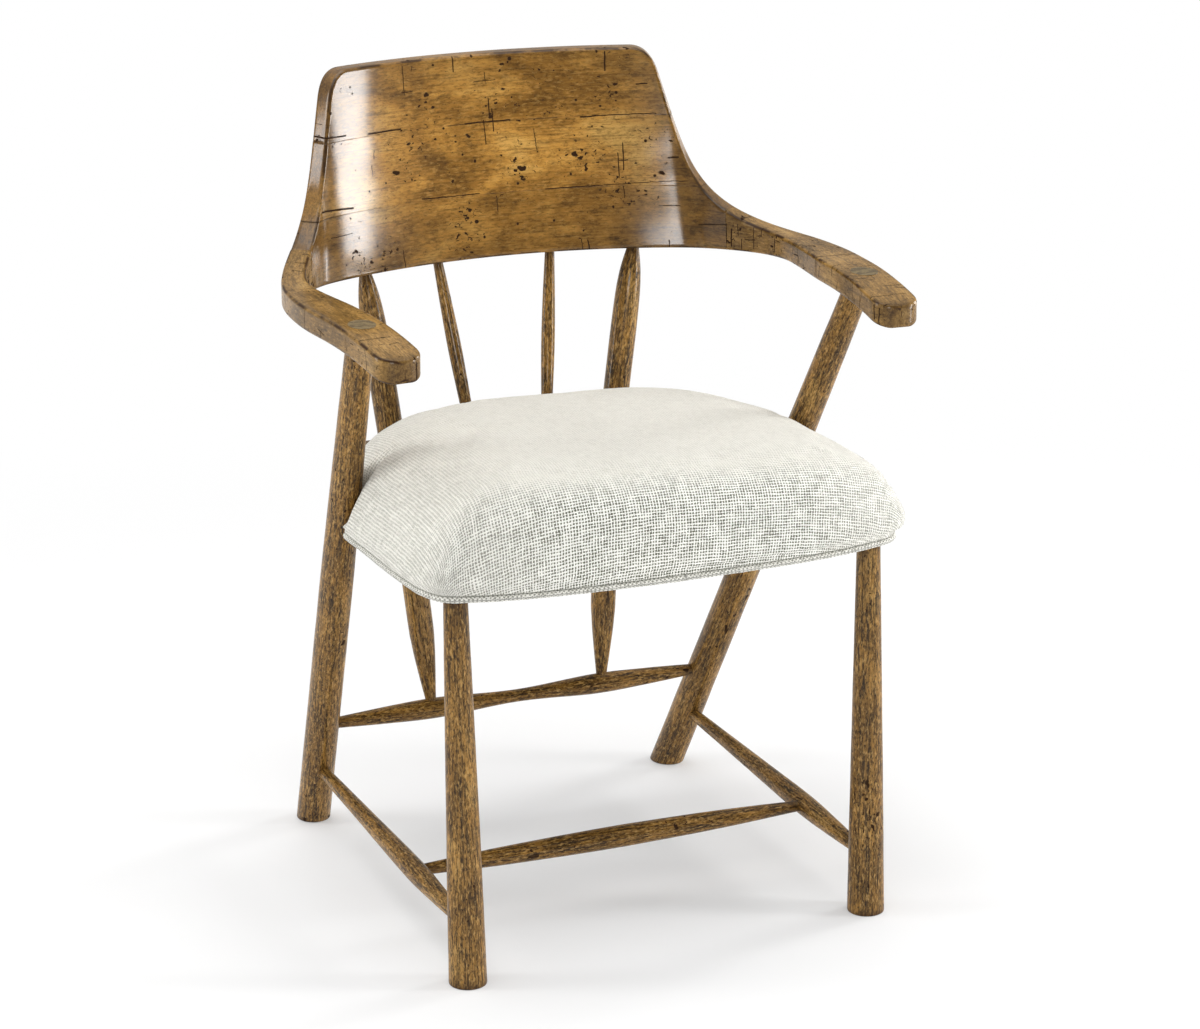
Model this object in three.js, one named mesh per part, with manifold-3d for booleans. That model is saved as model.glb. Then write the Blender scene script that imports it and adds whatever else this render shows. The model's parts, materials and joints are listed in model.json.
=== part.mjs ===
// Captain's chair. Three boards glued edge to edge make the curved back, and the lowest one runs
// on into two swept arms. A raked post carries each arm and passes the seat on its way to the
// floor. Two turned legs carry the front of the upholstered seat, a rail behind it holds the
// posts and spindles of the back, and turned stretchers tie the legs together.
// Millimetres, +Z up, -Y the front, +X the sitter's left hand.

import * as THREE from 'three';
import { mergeVertices } from 'three/addons/utils/BufferGeometryUtils.js';
import Module from 'manifold-3d';

const wasm = await Module();
wasm.setup();

// Fits between pieces
const jointGap = 0.3;
const glueLine = 0.1;
const clothGap = 0.5;
const overrun = 5;

// Back, as a bent ribbon: its plan is a wide arc, a tight crook, an easier elbow and then an arm
// that bends a little to its straight end
const backHeight = 217;
const upperGlueShare = 0.665;
const lowerGlueShare = 0.315;
const backCentreY = 241;
const backEndSetIn = 63;
const backAngle = THREE.MathUtils.degToRad(22.94);
const crookRadius = 110.5;
const crookAngle = THREE.MathUtils.degToRad(25.6);
const elbowRadius = 192;
const elbowAngle = THREE.MathUtils.degToRad(41);
const armBendRadius = 636;
const armBendAngle = THREE.MathUtils.degToRad(5);
const armReach = 186.3;
const backThickness = 21.5;
const backLean = 38;
const edgeRadius = 4.6;

// Side edge of the back: a rounded top corner, then one sweep down into the arm
const sideEdgeInset = 3.9;
const topCornerRun = 22.5;
const topCornerDrop = 28.3;
const sideEdgeTilt = THREE.MathUtils.degToRad(14.7);
const sweepUpperPull = 117.5;
const sweepLowerPull = 149;
const sweepRun = 176;

// Arms. Behind the elbow they stand up from the lean of the back and grow thinner, and from
// there they widen to a paddle that droops to its rounded tip.
const armHeight = 657.5;
const armRearThickness = 30.3;
const armThickness = 24.5;
const armThinningRun = 183;
const armUprightRun = 129;
const armWaist = 25;
const armPaddleWidth = 49;
const armPaddleStart = 325;
const armPaddleReach = 156;
const armDroop = 14.8;
const armDroopRun = 149;
const armDroopPower = 2.2;
const armTipRun = 25;
const armTipFlat = 8;
const armTipPower = 2.4;
const tongueLength = 36;
const tongueHeight = 20;
const tongueThickness = 8;

// Seat
const seatBottom = 404;
const railHeight = 32;
const deckThickness = 9;
const seatHalfWidth = 261;
const seatFrontY = -257;
const seatRearY = 181;
const railInset = 5;
const deckInset = 8;
const sideRailWidth = 44;
const frontRailWidth = 58;
const rearRailWidth = 42;
const rearOpeningSetIn = 122;
const straightPastBolt = 30;
const cornerBlockLeg = 58;
const cornerBlockThickness = 20;
const crownHeight = 95;
const crownCentreY = -83;
const apronLift = 2;
const apronHeight = 13;
const seatBulge = 2.5;
const seatDrawIn = 1.5;
const coverThickness = 1.2;
const weltDiameter = 6;
const weltInset = 1;
const weltLipRadius = 7;
const dustCoverThickness = 1;
const dustCoverInset = 9;

// Front legs, from the floor to the underside of the seat
const frontLegSetIn = 33.5;
const frontLegSetBack = 44.2;
const frontLegSplay = -2.1;
const frontLegRake = 16;
const frontFootDiameter = 39;
const frontLegTopDiameter = 24;
const frontLegTaperPower = 1.15;
const frontTenonDiameter = 16;
const frontTenonDepth = 24;

// Raked rear legs, from the floor to the top of the arms
const rearFootSetIn = 42.4;
const rearFootY = 254.2;
const rearFootDiameter = 37.5;
const rearLegSeatDiameter = 34.5;
const rearLegTopDiameter = 27;
const armTenonSetback = 97;

// Stretchers
const sideStretcherFrontHeight = 61.7;
const sideStretcherRearHeight = 75.3;
const sideStretcherEndDiameter = 13;
const sideStretcherSwell = 23;
const crossStretcherShare = 0.32;
const crossStretcherEndDiameter = 12;
const crossStretcherSwell = 23.5;
const rearStretcherHeight = 136;
const rearStretcherEndDiameter = 12.5;
const rearStretcherSwell = 22.5;

// Rail behind the seat, and what stands in it and hangs from it. Their places are shares of the
// seat's half width below, and of the half length of the back's arc above.
const spindleRailDepth = 46;
const spindleRailHeight = 34;
const spindleRailSetIn = 85;
const spindleRailRound = 10;
const spindleRailEase = 2;
const headSetback = 2;
const backPostShare = 0.504;
const backPostTopShare = 0.783;
const backPostSetback = 29.6;
const backPostDiameter = 28.5;
const backPostTopDiameter = 13;
const spindleShare = 0.169;
const spindleTopShare = 0.324;
const spindleSetback = 14.5;
const spindleSwell = 15;
const spindleEndDiameter = 10.4;
const strutTopShare = 0.475;
const strutFootShare = 0.392;
const strutSetback = 28;
const strutDiameter = 28;
const strutFootDiameter = 12;
const railTenonDiameter = 18;
const railTenonDepth = 14;
const spindleTenonDepth = 18;
const backTenonDepth = 22;

// Swells of turned bars: shares of the free length, and of the way from thin to thick
const sideStretcherShares = [[0, 0], [0.16, 0.67], [0.32, 1], [0.66, 0.5], [1, 0]];
const crossStretcherShares = [[0, 0], [0.22, 0.67], [0.5, 1], [0.78, 0.67], [1, 0]];
const rearStretcherShares = [[0, 0], [0.14, 0.67], [0.28, 1], [0.5, 0.15], [0.72, 1], [0.86, 0.67], [1, 0]];
const spindleShares = [[0, 0], [0.25, 0.67], [0.5, 1], [0.75, 0.67], [1, 0]];
const strutShares = [[0, 0], [0.12, 0.47], [0.24, 0.85], [0.38, 1], [1, 1]];
const backPostShares = [[0, 1], [0.6, 1], [0.84, 0.72], [1, 0]];

// Bolts and screws
const boltDiameter = 8;
const boltHeadDiameter = 15;
const boltHeadHeight = 5;
const boltLift = 17;
const insertDiameter = 12;
const insertLength = 12;
const railBoltPastBlock = 15;
const railBoltReach = 22;
const screwDiameter = 4;
const screwHeadDiameter = 8;
const screwHeadHeight = 2.5;
const screwReach = 7;

// Shares of the seat's half width and of its depth, from the middle of its front edge
// round to the middle of its rear edge
const seatOutlineShares = [
  [0, 0], [0.345, 0.005], [0.632, 0.021], [0.82, 0.046], [0.936, 0.076], [0.981, 0.139],
  [0.996, 0.244], [1, 0.45], [0.989, 0.655], [0.897, 0.781], [0.778, 0.884], [0.659, 0.959],
  [0.49, 0.993], [0.36, 1], [0, 1],
];
// The crown is a superellipse: shares of the way in from the edge, and its two powers
const crownRingShares = [1, 0.97, 0.91, 0.81, 0.66, 0.45, 0.15];
const crownPlanPower = 4.31;
const crownRisePower = 2.18;

// Facets of round and lofted forms
const legSides = 20;
const barSides = 14;
const smallSides = 10;
const weltSides = 8;
const cornerSteps = 2;
const flatSteps = 5;
const topCornerSteps = 4;
const legSteps = 6;
const barSteps = 12;
const sweepSteps = 15;
const armJointStep = 10;
const armSteps = 16;
const tipSteps = 6;
const outlineSteps = 44;
const notchSteps = 8;

// Materials
const woodBack = new THREE.MeshStandardMaterial({ color: 0x8b6433, roughness: 0.38, metalness: 0 });
const woodArm = new THREE.MeshStandardMaterial({ color: 0x9a7648, roughness: 0.4, metalness: 0 });
const woodTurned = new THREE.MeshStandardMaterial({ color: 0x6e5233, roughness: 0.42, metalness: 0 });
const woodFrame = new THREE.MeshStandardMaterial({ color: 0xb99c6f, roughness: 0.8, metalness: 0 });
const plywood = new THREE.MeshStandardMaterial({ color: 0xc9ad7d, roughness: 0.8, metalness: 0 });
const linen = new THREE.MeshStandardMaterial({ color: 0xe6e4dc, roughness: 0.95, metalness: 0 });
const foam = new THREE.MeshStandardMaterial({ color: 0xe9dfb8, roughness: 0.95, metalness: 0 });
const blackCloth = new THREE.MeshStandardMaterial({ color: 0x1c1c1c, roughness: 0.95, metalness: 0 });
const steel = new THREE.MeshStandardMaterial({ color: 0x9b9b98, roughness: 0.4, metalness: 1 });

const chair = new THREE.Group();

// The back's underside runs on level with the underside of the arms' rear ends
const backBottom = armHeight - armRearThickness;
const backTop = backBottom + backHeight;

// Solids and meshes

function withoutEmptyFaces(geometry) {
  const corners = geometry.index.array;
  const kept = [];
  for (let i = 0; i < corners.length; i += 3) {
    const [a, b, c] = corners.slice(i, i + 3);
    if (a !== b && b !== c && c !== a) kept.push(a, b, c);
  }
  geometry.setIndex(kept);
  return geometry;
}

function signedVolume(geometry) {
  const places = geometry.attributes.position;
  const corners = geometry.index.array;
  const [a, b, c] = [new THREE.Vector3(), new THREE.Vector3(), new THREE.Vector3()];
  let volume = 0;
  for (let i = 0; i < corners.length; i += 3) {
    a.fromBufferAttribute(places, corners[i]);
    b.fromBufferAttribute(places, corners[i + 1]);
    c.fromBufferAttribute(places, corners[i + 2]);
    volume += a.dot(b.cross(c)) / 6;
  }
  return volume;
}

function toSolid(source) {
  const bare = source.clone();
  bare.deleteAttribute('normal');
  bare.deleteAttribute('uv');
  const geometry = withoutEmptyFaces(mergeVertices(bare));
  if (signedVolume(geometry) < 0) geometry.setIndex([...geometry.index.array].reverse());
  const mesh = new wasm.Mesh({
    numProp: 3,
    vertProperties: Float32Array.from(geometry.attributes.position.array),
    triVerts: Uint32Array.from(geometry.index.array),
  });
  return new wasm.Manifold(mesh);
}

function toGeometry(solid) {
  const { vertProperties, triVerts } = solid.getMesh();
  const geometry = new THREE.BufferGeometry();
  geometry.setAttribute('position', new THREE.Float32BufferAttribute(vertProperties, 3));
  geometry.setIndex([...triVerts]);
  geometry.computeVertexNormals();
  return geometry;
}

function mirrored(solid) {
  return toSolid(toGeometry(solid).applyMatrix4(new THREE.Matrix4().makeScale(-1, 1, 1)));
}

function withMirror(solid) {
  return solid.add(mirrored(solid));
}

function addPiece(name, solid, material) {
  const mesh = new THREE.Mesh(toGeometry(solid), material.clone());
  mesh.name = name;
  chair.add(mesh);
}

function addPair(name, solid, material) {
  addPiece(`${name}_left`, solid, material);
  addPiece(`${name}_right`, mirrored(solid), material);
}

// Skin over rings of equal point counts, closed by a flat fan at each end
function loft(rings) {
  const count = rings[0].length;
  const ends = [rings[0], rings.at(-1)];
  const middles = ends.map((ring) => {
    const middle = new THREE.Vector3();
    ring.forEach((place) => middle.add(place));
    return middle.divideScalar(count);
  });
  const places = [...rings.flat(), ...middles];
  const corners = [];
  for (let r = 0; r + 1 < rings.length; r += 1) {
    for (let i = 0; i < count; i += 1) {
      const [a, b] = [r * count + i, r * count + ((i + 1) % count)];
      corners.push(a, b, b + count, a, b + count, a + count);
    }
  }
  const lastRing = (rings.length - 1) * count;
  for (let i = 0; i < count; i += 1) {
    const next = (i + 1) % count;
    corners.push(next, i, places.length - 2);
    corners.push(lastRing + i, lastRing + next, places.length - 1);
  }
  const geometry = new THREE.BufferGeometry().setFromPoints(places);
  geometry.setIndex(corners);
  return toSolid(geometry);
}

function block(minimum, maximum) {
  const size = maximum.clone().sub(minimum);
  const middle = minimum.clone().add(maximum).divideScalar(2);
  const geometry = new THREE.BoxGeometry(size.x, size.y, size.z);
  return toSolid(geometry.translate(middle.x, middle.y, middle.z));
}

// Everything between two heights, and everything between two depths
function layer(bottom, top) {
  return block(new THREE.Vector3(-backTop, -backTop, bottom), new THREE.Vector3(backTop, backTop, top));
}

function slice(front, rear) {
  return block(new THREE.Vector3(-backTop, front, -backTop), new THREE.Vector3(backTop, rear, backTop));
}

function plate(points, bottom, top, ease = 0) {
  const geometry = new THREE.ExtrudeGeometry(new THREE.Shape(points), {
    depth: top - bottom - 2 * ease,
    bevelEnabled: ease > 0,
    bevelThickness: ease,
    bevelSize: ease,
    bevelOffset: -ease,
    bevelSegments: 2,
  });
  return toSolid(geometry.translate(0, 0, bottom + ease));
}

function otherSide(place) {
  return new THREE.Vector3(-place.x, place.y, place.z);
}

function easeShare(value) {
  return THREE.MathUtils.smoothstep(value, 0, 1);
}

// Turned work: a profile lists [distance along the axis, diameter]

function turned(start, end, profile, sides) {
  const outline = profile.map(([distance, diameter]) => new THREE.Vector2(diameter / 2, distance));
  outline.unshift(new THREE.Vector2(0, profile[0][0]));
  outline.push(new THREE.Vector2(0, profile.at(-1)[0]));
  const direction = end.clone().sub(start).normalize();
  const turn = new THREE.Quaternion().setFromUnitVectors(new THREE.Vector3(0, 1, 0), direction);
  const geometry = new THREE.LatheGeometry(outline, sides).applyQuaternion(turn);
  return toSolid(geometry.translate(start.x, start.y, start.z));
}

function rod(start, end, diameter, sides = barSides) {
  return turned(start, end, [[0, diameter], [start.distanceTo(end), diameter]], sides);
}

// A point past the end of an axis, or short of it when the distance is negative
function beyond(start, end, distance) {
  return end.clone().addScaledVector(end.clone().sub(start).normalize(), distance);
}

function atHeight(start, end, height) {
  return start.clone().lerp(end, (height - start.z) / (end.z - start.z));
}

function bore(start, end, diameter) {
  return rod(beyond(end, start, jointGap), beyond(start, end, jointGap), diameter + 2 * jointGap);
}

// A swelling bar, whose ends run straight in their sockets
function bar(start, end, swellShares, thin, thick, startSocket, endSocket) {
  const length = start.distanceTo(end);
  const free = length - startSocket - endSocket;
  const knots = swellShares.map(([share, swell]) => {
    return new THREE.Vector2(startSocket + free * share, THREE.MathUtils.lerp(thin, thick, swell));
  });
  const places = new THREE.SplineCurve(knots).getPoints(barSteps);
  const profile = places.map((place) => [place.x, place.y]);
  if (startSocket > 0) profile.unshift([0, knots[0].y]);
  if (endSocket > 0) profile.push([length, knots.at(-1).y]);
  return turned(start, end, profile, barSides);
}

// The ribbon of back and arms, all by distance along it from the middle of the back

const backRadius = (seatHalfWidth - backEndSetIn) / Math.sin(backAngle);
const bends = [
  [backRadius, backAngle],
  [crookRadius, crookAngle],
  [elbowRadius, elbowAngle],
  [armBendRadius, armBendAngle],
];
const backArcLength = backRadius * backAngle;
const backHalfLength = backArcLength - sideEdgeInset;
const armTip = bends.reduce((length, [radius, angle]) => length + radius * angle, armReach);

function ribbonPlan(distance) {
  const side = distance < 0 ? -1 : 1;
  let rest = Math.abs(distance);
  let heading = 0;
  let x = 0;
  let y = backCentreY;
  for (const [radius, angle] of bends) {
    const turn = Math.min(rest / radius, angle);
    x += radius * (Math.sin(heading + turn) - Math.sin(heading));
    y -= radius * (Math.cos(heading) - Math.cos(heading + turn));
    heading += turn;
    rest -= radius * turn;
  }
  const place = new THREE.Vector3(side * (x + rest * Math.cos(heading)), y - rest * Math.sin(heading), 0);
  const outward = new THREE.Vector3(side * Math.sin(heading), Math.cos(heading), 0);
  return { place, outward };
}

function uprightShare(distance) {
  return easeShare((distance - backArcLength) / armUprightRun);
}

function ribbonWidth(distance) {
  const paddleStart = armTip - armPaddleStart;
  const paddle = easeShare((distance - paddleStart) / (armPaddleStart - armPaddleReach));
  const waist = THREE.MathUtils.lerp(backThickness, armWaist, uprightShare(distance));
  return waist + (armPaddleWidth - armWaist) * paddle;
}

function armCrest(distance) {
  const share = THREE.MathUtils.clamp(1 - (armTip - distance) / armDroopRun, 0, 1);
  return armHeight - armDroop * share ** armDroopPower;
}

function ribbonBottom(distance) {
  const thinning = easeShare((distance - backArcLength) / armThinningRun);
  return armCrest(distance) - THREE.MathUtils.lerp(armRearThickness, armThickness, thinning);
}

// Half the width, drawn in over the last run of the arm to a narrow flat at the tip
function ribbonHalf(distance) {
  const past = THREE.MathUtils.clamp(1 - (armTip - distance) / armTipRun, 0, 1);
  const drawnIn = (1 - past ** armTipPower) ** (1 / armTipPower);
  return Math.max(armTipFlat, ribbonWidth(distance) * drawnIn) / 2;
}

// How far the upper and lower faces have come in where they round over the tip
function tipInset(distance) {
  const past = THREE.MathUtils.clamp(distance - (armTip - edgeRadius), 0, edgeRadius);
  return edgeRadius - Math.sqrt(edgeRadius ** 2 - past ** 2);
}

// A rounded rectangle across the ribbon. Where the crest is steep its rounding is drawn out
// downwards, so the edge stays as round when seen along the sweep.
function ribbonSection({ distance: signed, crest, slope }) {
  const distance = Math.abs(signed);
  const { place, outward } = ribbonPlan(signed);
  const half = ribbonHalf(distance);
  const radius = Math.min(edgeRadius, half);
  const drawnOut = radius * Math.hypot(1, slope);
  const lean = (backLean * (1 - uprightShare(distance))) / backHeight;
  const low = ribbonBottom(distance) + tipInset(distance);
  const high = crest - tipInset(distance);
  const corners = [
    [-1, low, radius, 1],
    [-1, high, -drawnOut, -1],
    [1, high, -drawnOut, 1],
    [1, low, radius, -1],
  ];
  const ring = [];
  for (const [side, level, rise, order] of corners) {
    for (let step = 0; step <= cornerSteps; step += 1) {
      const share = order > 0 ? step / cornerSteps : 1 - step / cornerSteps;
      const angle = (share * Math.PI) / 2;
      const across = side * (half - radius * (1 - Math.sin(angle)));
      const height = level + rise * (1 - Math.cos(angle));
      const corner = place.clone().addScaledVector(outward, across);
      ring.push(corner.add(new THREE.Vector3(0, lean * (height - backBottom), height)));
    }
  }
  return ring;
}

// Stations of the crest of the back: flat top, rounded corner, sweep down to the arm
function backStations() {
  const cornerEnd = new THREE.Vector2(backHalfLength, backTop - topCornerDrop);
  const edgeDirection = new THREE.Vector2(Math.sin(sideEdgeTilt), -Math.cos(sideEdgeTilt));
  const cornerTip = new THREE.Vector2(backHalfLength - topCornerDrop * Math.tan(sideEdgeTilt), backTop);
  const cornerStart = new THREE.Vector2(cornerTip.x - topCornerRun, backTop);
  const sweepEnd = new THREE.Vector2(backHalfLength + sweepRun, armHeight);
  const sweep = new THREE.CubicBezierCurve(
    cornerEnd,
    cornerEnd.clone().addScaledVector(edgeDirection, sweepUpperPull),
    new THREE.Vector2(sweepEnd.x - sweepLowerPull, armHeight),
    sweepEnd,
  );
  const parts = [
    [new THREE.LineCurve(new THREE.Vector2(0, backTop), cornerStart), flatSteps],
    [new THREE.QuadraticBezierCurve(cornerStart, cornerTip, cornerEnd), topCornerSteps],
    [sweep, sweepSteps],
  ];
  const stations = [];
  for (const [curve, steps] of parts) {
    for (let step = 0; step < steps; step += 1) {
      const place = curve.getPoint(step / steps);
      const tangent = curve.getTangent(step / steps);
      stations.push({ distance: place.x, crest: place.y, slope: tangent.y / tangent.x });
    }
  }
  return stations;
}

const crestStations = backStations();
const jointIndex = crestStations.length - sweepSteps + armJointStep;
const jointStation = crestStations[jointIndex];

// Stations from the joint to the tip of the arm, closer together round the tip
function armStations() {
  const levelStart = backHalfLength + sweepRun;
  const roundStart = armTip - armTipRun;
  const distances = [];
  for (let step = 0; step < armSteps; step += 1) {
    distances.push(THREE.MathUtils.lerp(levelStart, roundStart, step / armSteps));
  }
  for (let step = 0; step <= tipSteps; step += 1) {
    distances.push(roundStart + armTipRun * Math.sin(((step / tipSteps) * Math.PI) / 2));
  }
  const level = distances.map((distance) => ({ distance, crest: armCrest(distance), slope: 0 }));
  return [...crestStations.slice(jointIndex + 1), ...level];
}

// Where an upright meets the underside of the back, a little behind the middle of its thickness,
// and where it meets the rail behind the seat
function behindMiddle(share) {
  const { place, outward } = ribbonPlan(backArcLength * share);
  return place.addScaledVector(outward, headSetback).setZ(backBottom);
}

function onRail(share, setback, height) {
  return new THREE.Vector3(seatHalfWidth * share, spindleRailFront + setback, height);
}

// Axes of the turned pieces on the sitter's left

const spindleRailFront = seatRearY + seatBulge + clothGap;
const spindleRailTop = seatBottom + spindleRailHeight;
const frontLegTop = new THREE.Vector3(
  seatHalfWidth - frontLegSetIn,
  seatFrontY + frontLegSetBack,
  seatBottom,
);
const frontFoot = new THREE.Vector3(frontLegTop.x + frontLegSplay, frontLegTop.y - frontLegRake, 0);
const rearFoot = new THREE.Vector3(seatHalfWidth - rearFootSetIn, rearFootY, 0);
const rearLegTop = ribbonPlan(armTip - armTenonSetback).place.setZ(armCrest(armTip - armTenonSetback));
const sideStretcherFront = atHeight(frontFoot, frontLegTop, sideStretcherFrontHeight);
const sideStretcherRear = atHeight(rearFoot, rearLegTop, sideStretcherRearHeight);
const crossStretcherEnd = sideStretcherFront.clone().lerp(sideStretcherRear, crossStretcherShare);
const rearStretcherEnd = atHeight(rearFoot, rearLegTop, rearStretcherHeight);
const backPostFoot = onRail(backPostShare, backPostSetback, spindleRailTop);
const backPostHead = behindMiddle(backPostTopShare);
const spindleFoot = onRail(spindleShare, spindleSetback, spindleRailTop);
const spindleHead = behindMiddle(spindleTopShare);
const strutHead = onRail(strutTopShare, strutSetback, seatBottom);
const strutFoot = new THREE.Vector3(seatHalfWidth * strutFootShare, rearStretcherEnd.y, rearStretcherHeight);
const frontTenonEnd = beyond(frontFoot, frontLegTop, frontTenonDepth);
const backPostTenonEnd = beyond(backPostHead, backPostFoot, railTenonDepth);
const backPostHeadEnd = beyond(backPostFoot, backPostHead, backTenonDepth);
const spindleTenonEnd = beyond(spindleHead, spindleFoot, spindleTenonDepth);
const spindleHeadEnd = beyond(spindleFoot, spindleHead, backTenonDepth);
const strutTenonEnd = beyond(strutFoot, strutHead, railTenonDepth);

// Bolts that hold the seat frame to the raked legs and to the rail behind it

const railTop = seatBottom + railHeight;
const boltHeight = seatBottom + boltLift;
const legBoltEnd = atHeight(rearFoot, rearLegTop, boltHeight);
const sideRailInnerX = seatHalfWidth - railInset - sideRailWidth;
const sideRailStraightEndY = legBoltEnd.y + straightPastBolt;
const rearOpeningHalfWidth = seatHalfWidth - rearOpeningSetIn;
const rearRailInnerY = seatRearY - railInset - rearRailWidth;
const frontRailInnerY = seatFrontY + railInset + frontRailWidth;
const legBoltStart = new THREE.Vector3(sideRailInnerX - jointGap, legBoltEnd.y, boltHeight);
const railBoltX = rearOpeningHalfWidth - cornerBlockLeg - railBoltPastBlock;
const railBoltStart = new THREE.Vector3(railBoltX, rearRailInnerY - jointGap, boltHeight);
const railBoltEnd = new THREE.Vector3(railBoltX, spindleRailFront + railBoltReach, boltHeight);
const insertStart = beyond(legBoltStart, legBoltEnd, -insertLength);

function bolt(start, end) {
  const head = rod(beyond(end, start, boltHeadHeight), start, boltHeadDiameter, 6);
  return head.add(rod(start, beyond(start, end, -jointGap), boltDiameter, smallSides));
}

function boltPassage(start, end, clearance) {
  const mouth = beyond(end, start, overrun);
  return rod(mouth, beyond(start, end, jointGap), boltDiameter + 2 * clearance, smallSides);
}

// Legs

function frontLegBody() {
  const start = beyond(frontLegTop, frontFoot, overrun);
  const end = beyond(frontFoot, frontLegTop, overrun);
  const length = start.distanceTo(end);
  const profile = [];
  for (let step = 0; step <= legSteps; step += 1) {
    const share = step / legSteps;
    const taper = (frontFootDiameter - frontLegTopDiameter) * share ** frontLegTaperPower;
    profile.push([length * share, frontFootDiameter - taper]);
  }
  return turned(start, end, profile, legSides);
}

// The raked leg with any clearance round it, run on past the floor and the arm
function rearLegBody(clearance) {
  const start = beyond(rearLegTop, rearFoot, rearFootDiameter);
  const end = beyond(rearFoot, rearLegTop, rearFootDiameter);
  const length = start.distanceTo(end);
  const seatShare = (seatBottom - railHeight) / rearLegTop.z;
  const knots = [
    new THREE.Vector2(0, rearFootDiameter),
    new THREE.Vector2((length * seatShare) / 2, (rearFootDiameter + rearLegSeatDiameter) / 2),
    new THREE.Vector2(length * seatShare, rearLegSeatDiameter),
    new THREE.Vector2(length, rearLegTopDiameter),
  ];
  const places = new THREE.SplineCurve(knots).getPoints(legSteps);
  return turned(start, end, places.map((place) => [place.x, place.y + 2 * clearance]), legSides);
}

function addFrontLegs() {
  const tenon = rod(beyond(frontFoot, frontLegTop, -overrun), frontTenonEnd, frontTenonDiameter);
  const leg = frontLegBody()
    .subtract(layer(-backTop, 0))
    .subtract(layer(seatBottom - jointGap, backTop))
    .add(tenon)
    .subtract(bore(sideStretcherFront, sideStretcherRear, sideStretcherEndDiameter));
  addPair('front_leg', leg, woodTurned);
}

function addRearLegs() {
  const insertSocket = bore(insertStart, legBoltEnd, insertDiameter);
  const insertWay = rod(legBoltStart, legBoltEnd, insertDiameter + 2 * jointGap);
  const leg = rearLegBody(0)
    .subtract(layer(-backTop, 0))
    .subtract(layer(rearLegTop.z, backTop))
    .subtract(bore(sideStretcherFront, sideStretcherRear, sideStretcherEndDiameter))
    .subtract(bore(rearStretcherEnd, otherSide(rearStretcherEnd), rearStretcherEndDiameter))
    .subtract(insertSocket)
    .subtract(insertWay);
  addPair('rear_leg', leg, woodTurned);
  const insert = rod(insertStart, legBoltEnd, insertDiameter, smallSides);
  addPair('leg_insert', insert.subtract(boltPassage(legBoltStart, legBoltEnd, jointGap)), steel);
  addPair('leg_bolt', bolt(legBoltStart, legBoltEnd), steel);
}

// Stretchers and struts

function addStretchers() {
  const legRadius = frontFootDiameter / 2;
  const side = bar(
    sideStretcherFront,
    sideStretcherRear,
    sideStretcherShares,
    sideStretcherEndDiameter,
    sideStretcherSwell,
    legRadius,
    legRadius,
  );
  const crossBore = bore(crossStretcherEnd, otherSide(crossStretcherEnd), crossStretcherEndDiameter);
  addPair('side_stretcher', side.subtract(crossBore), woodTurned);
  const cross = bar(
    crossStretcherEnd,
    otherSide(crossStretcherEnd),
    crossStretcherShares,
    crossStretcherEndDiameter,
    crossStretcherSwell,
    sideStretcherSwell / 2,
    sideStretcherSwell / 2,
  );
  addPiece('cross_stretcher', cross, woodTurned);
  const rear = bar(
    rearStretcherEnd,
    otherSide(rearStretcherEnd),
    rearStretcherShares,
    rearStretcherEndDiameter,
    rearStretcherSwell,
    legRadius,
    legRadius,
  );
  const strutBore = bore(strutFoot, strutHead, strutFootDiameter);
  addPiece('rear_stretcher', rear.subtract(withMirror(strutBore)), woodTurned);
}

function addStruts() {
  const end = beyond(strutFoot, strutHead, overrun);
  const socket = rearStretcherSwell / 2;
  const strut = bar(strutFoot, end, strutShares, strutFootDiameter, strutDiameter, socket, 0);
  const tenon = rod(beyond(strutFoot, strutHead, -overrun), strutTenonEnd, railTenonDiameter);
  addPair('strut', strut.subtract(layer(seatBottom - jointGap, backTop)).add(tenon), woodTurned);
}

// Posts, spindles and the rail they stand in

function addBackPosts() {
  const start = beyond(backPostHead, backPostFoot, overrun);
  const post = bar(
    start,
    backPostHeadEnd,
    backPostShares,
    backPostTopDiameter,
    backPostDiameter,
    0,
    backTenonDepth,
  );
  const tenon = rod(backPostTenonEnd, beyond(backPostHead, backPostFoot, -overrun), railTenonDiameter);
  const shoulder = layer(-backTop, spindleRailTop + jointGap);
  addPair('back_post', post.subtract(shoulder).add(tenon), woodTurned);
}

function addSpindles() {
  const spindle = bar(
    spindleTenonEnd,
    spindleHeadEnd,
    spindleShares,
    spindleEndDiameter,
    spindleSwell,
    spindleTenonDepth,
    backTenonDepth,
  );
  addPair('spindle', spindle, woodTurned);
}

function addSpindleRail() {
  const side = seatHalfWidth - spindleRailSetIn - spindleRailRound;
  const front = spindleRailFront + spindleRailRound;
  const rear = spindleRailFront + spindleRailDepth - spindleRailRound;
  const outline = new THREE.Shape();
  const corners = [[side, rear], [-side, rear], [-side, front], [side, front]];
  corners.forEach(([x, y], index) => {
    const angle = (index * Math.PI) / 2;
    outline.absarc(x, y, spindleRailRound, angle, angle + Math.PI / 2);
  });
  const mortises = bore(backPostTenonEnd, backPostHead, railTenonDiameter)
    .add(bore(spindleTenonEnd, spindleHead, spindleEndDiameter))
    .add(bore(strutTenonEnd, strutFoot, railTenonDiameter))
    .add(boltPassage(railBoltStart, railBoltEnd, jointGap));
  const rail = plate(outline.getPoints(4), seatBottom, spindleRailTop, spindleRailEase);
  addPiece('spindle_rail', rail.subtract(withMirror(mortises)), woodTurned);
  addPair('rail_bolt', bolt(railBoltStart, railBoltEnd), steel);
}

// Back boards and arms

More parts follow.
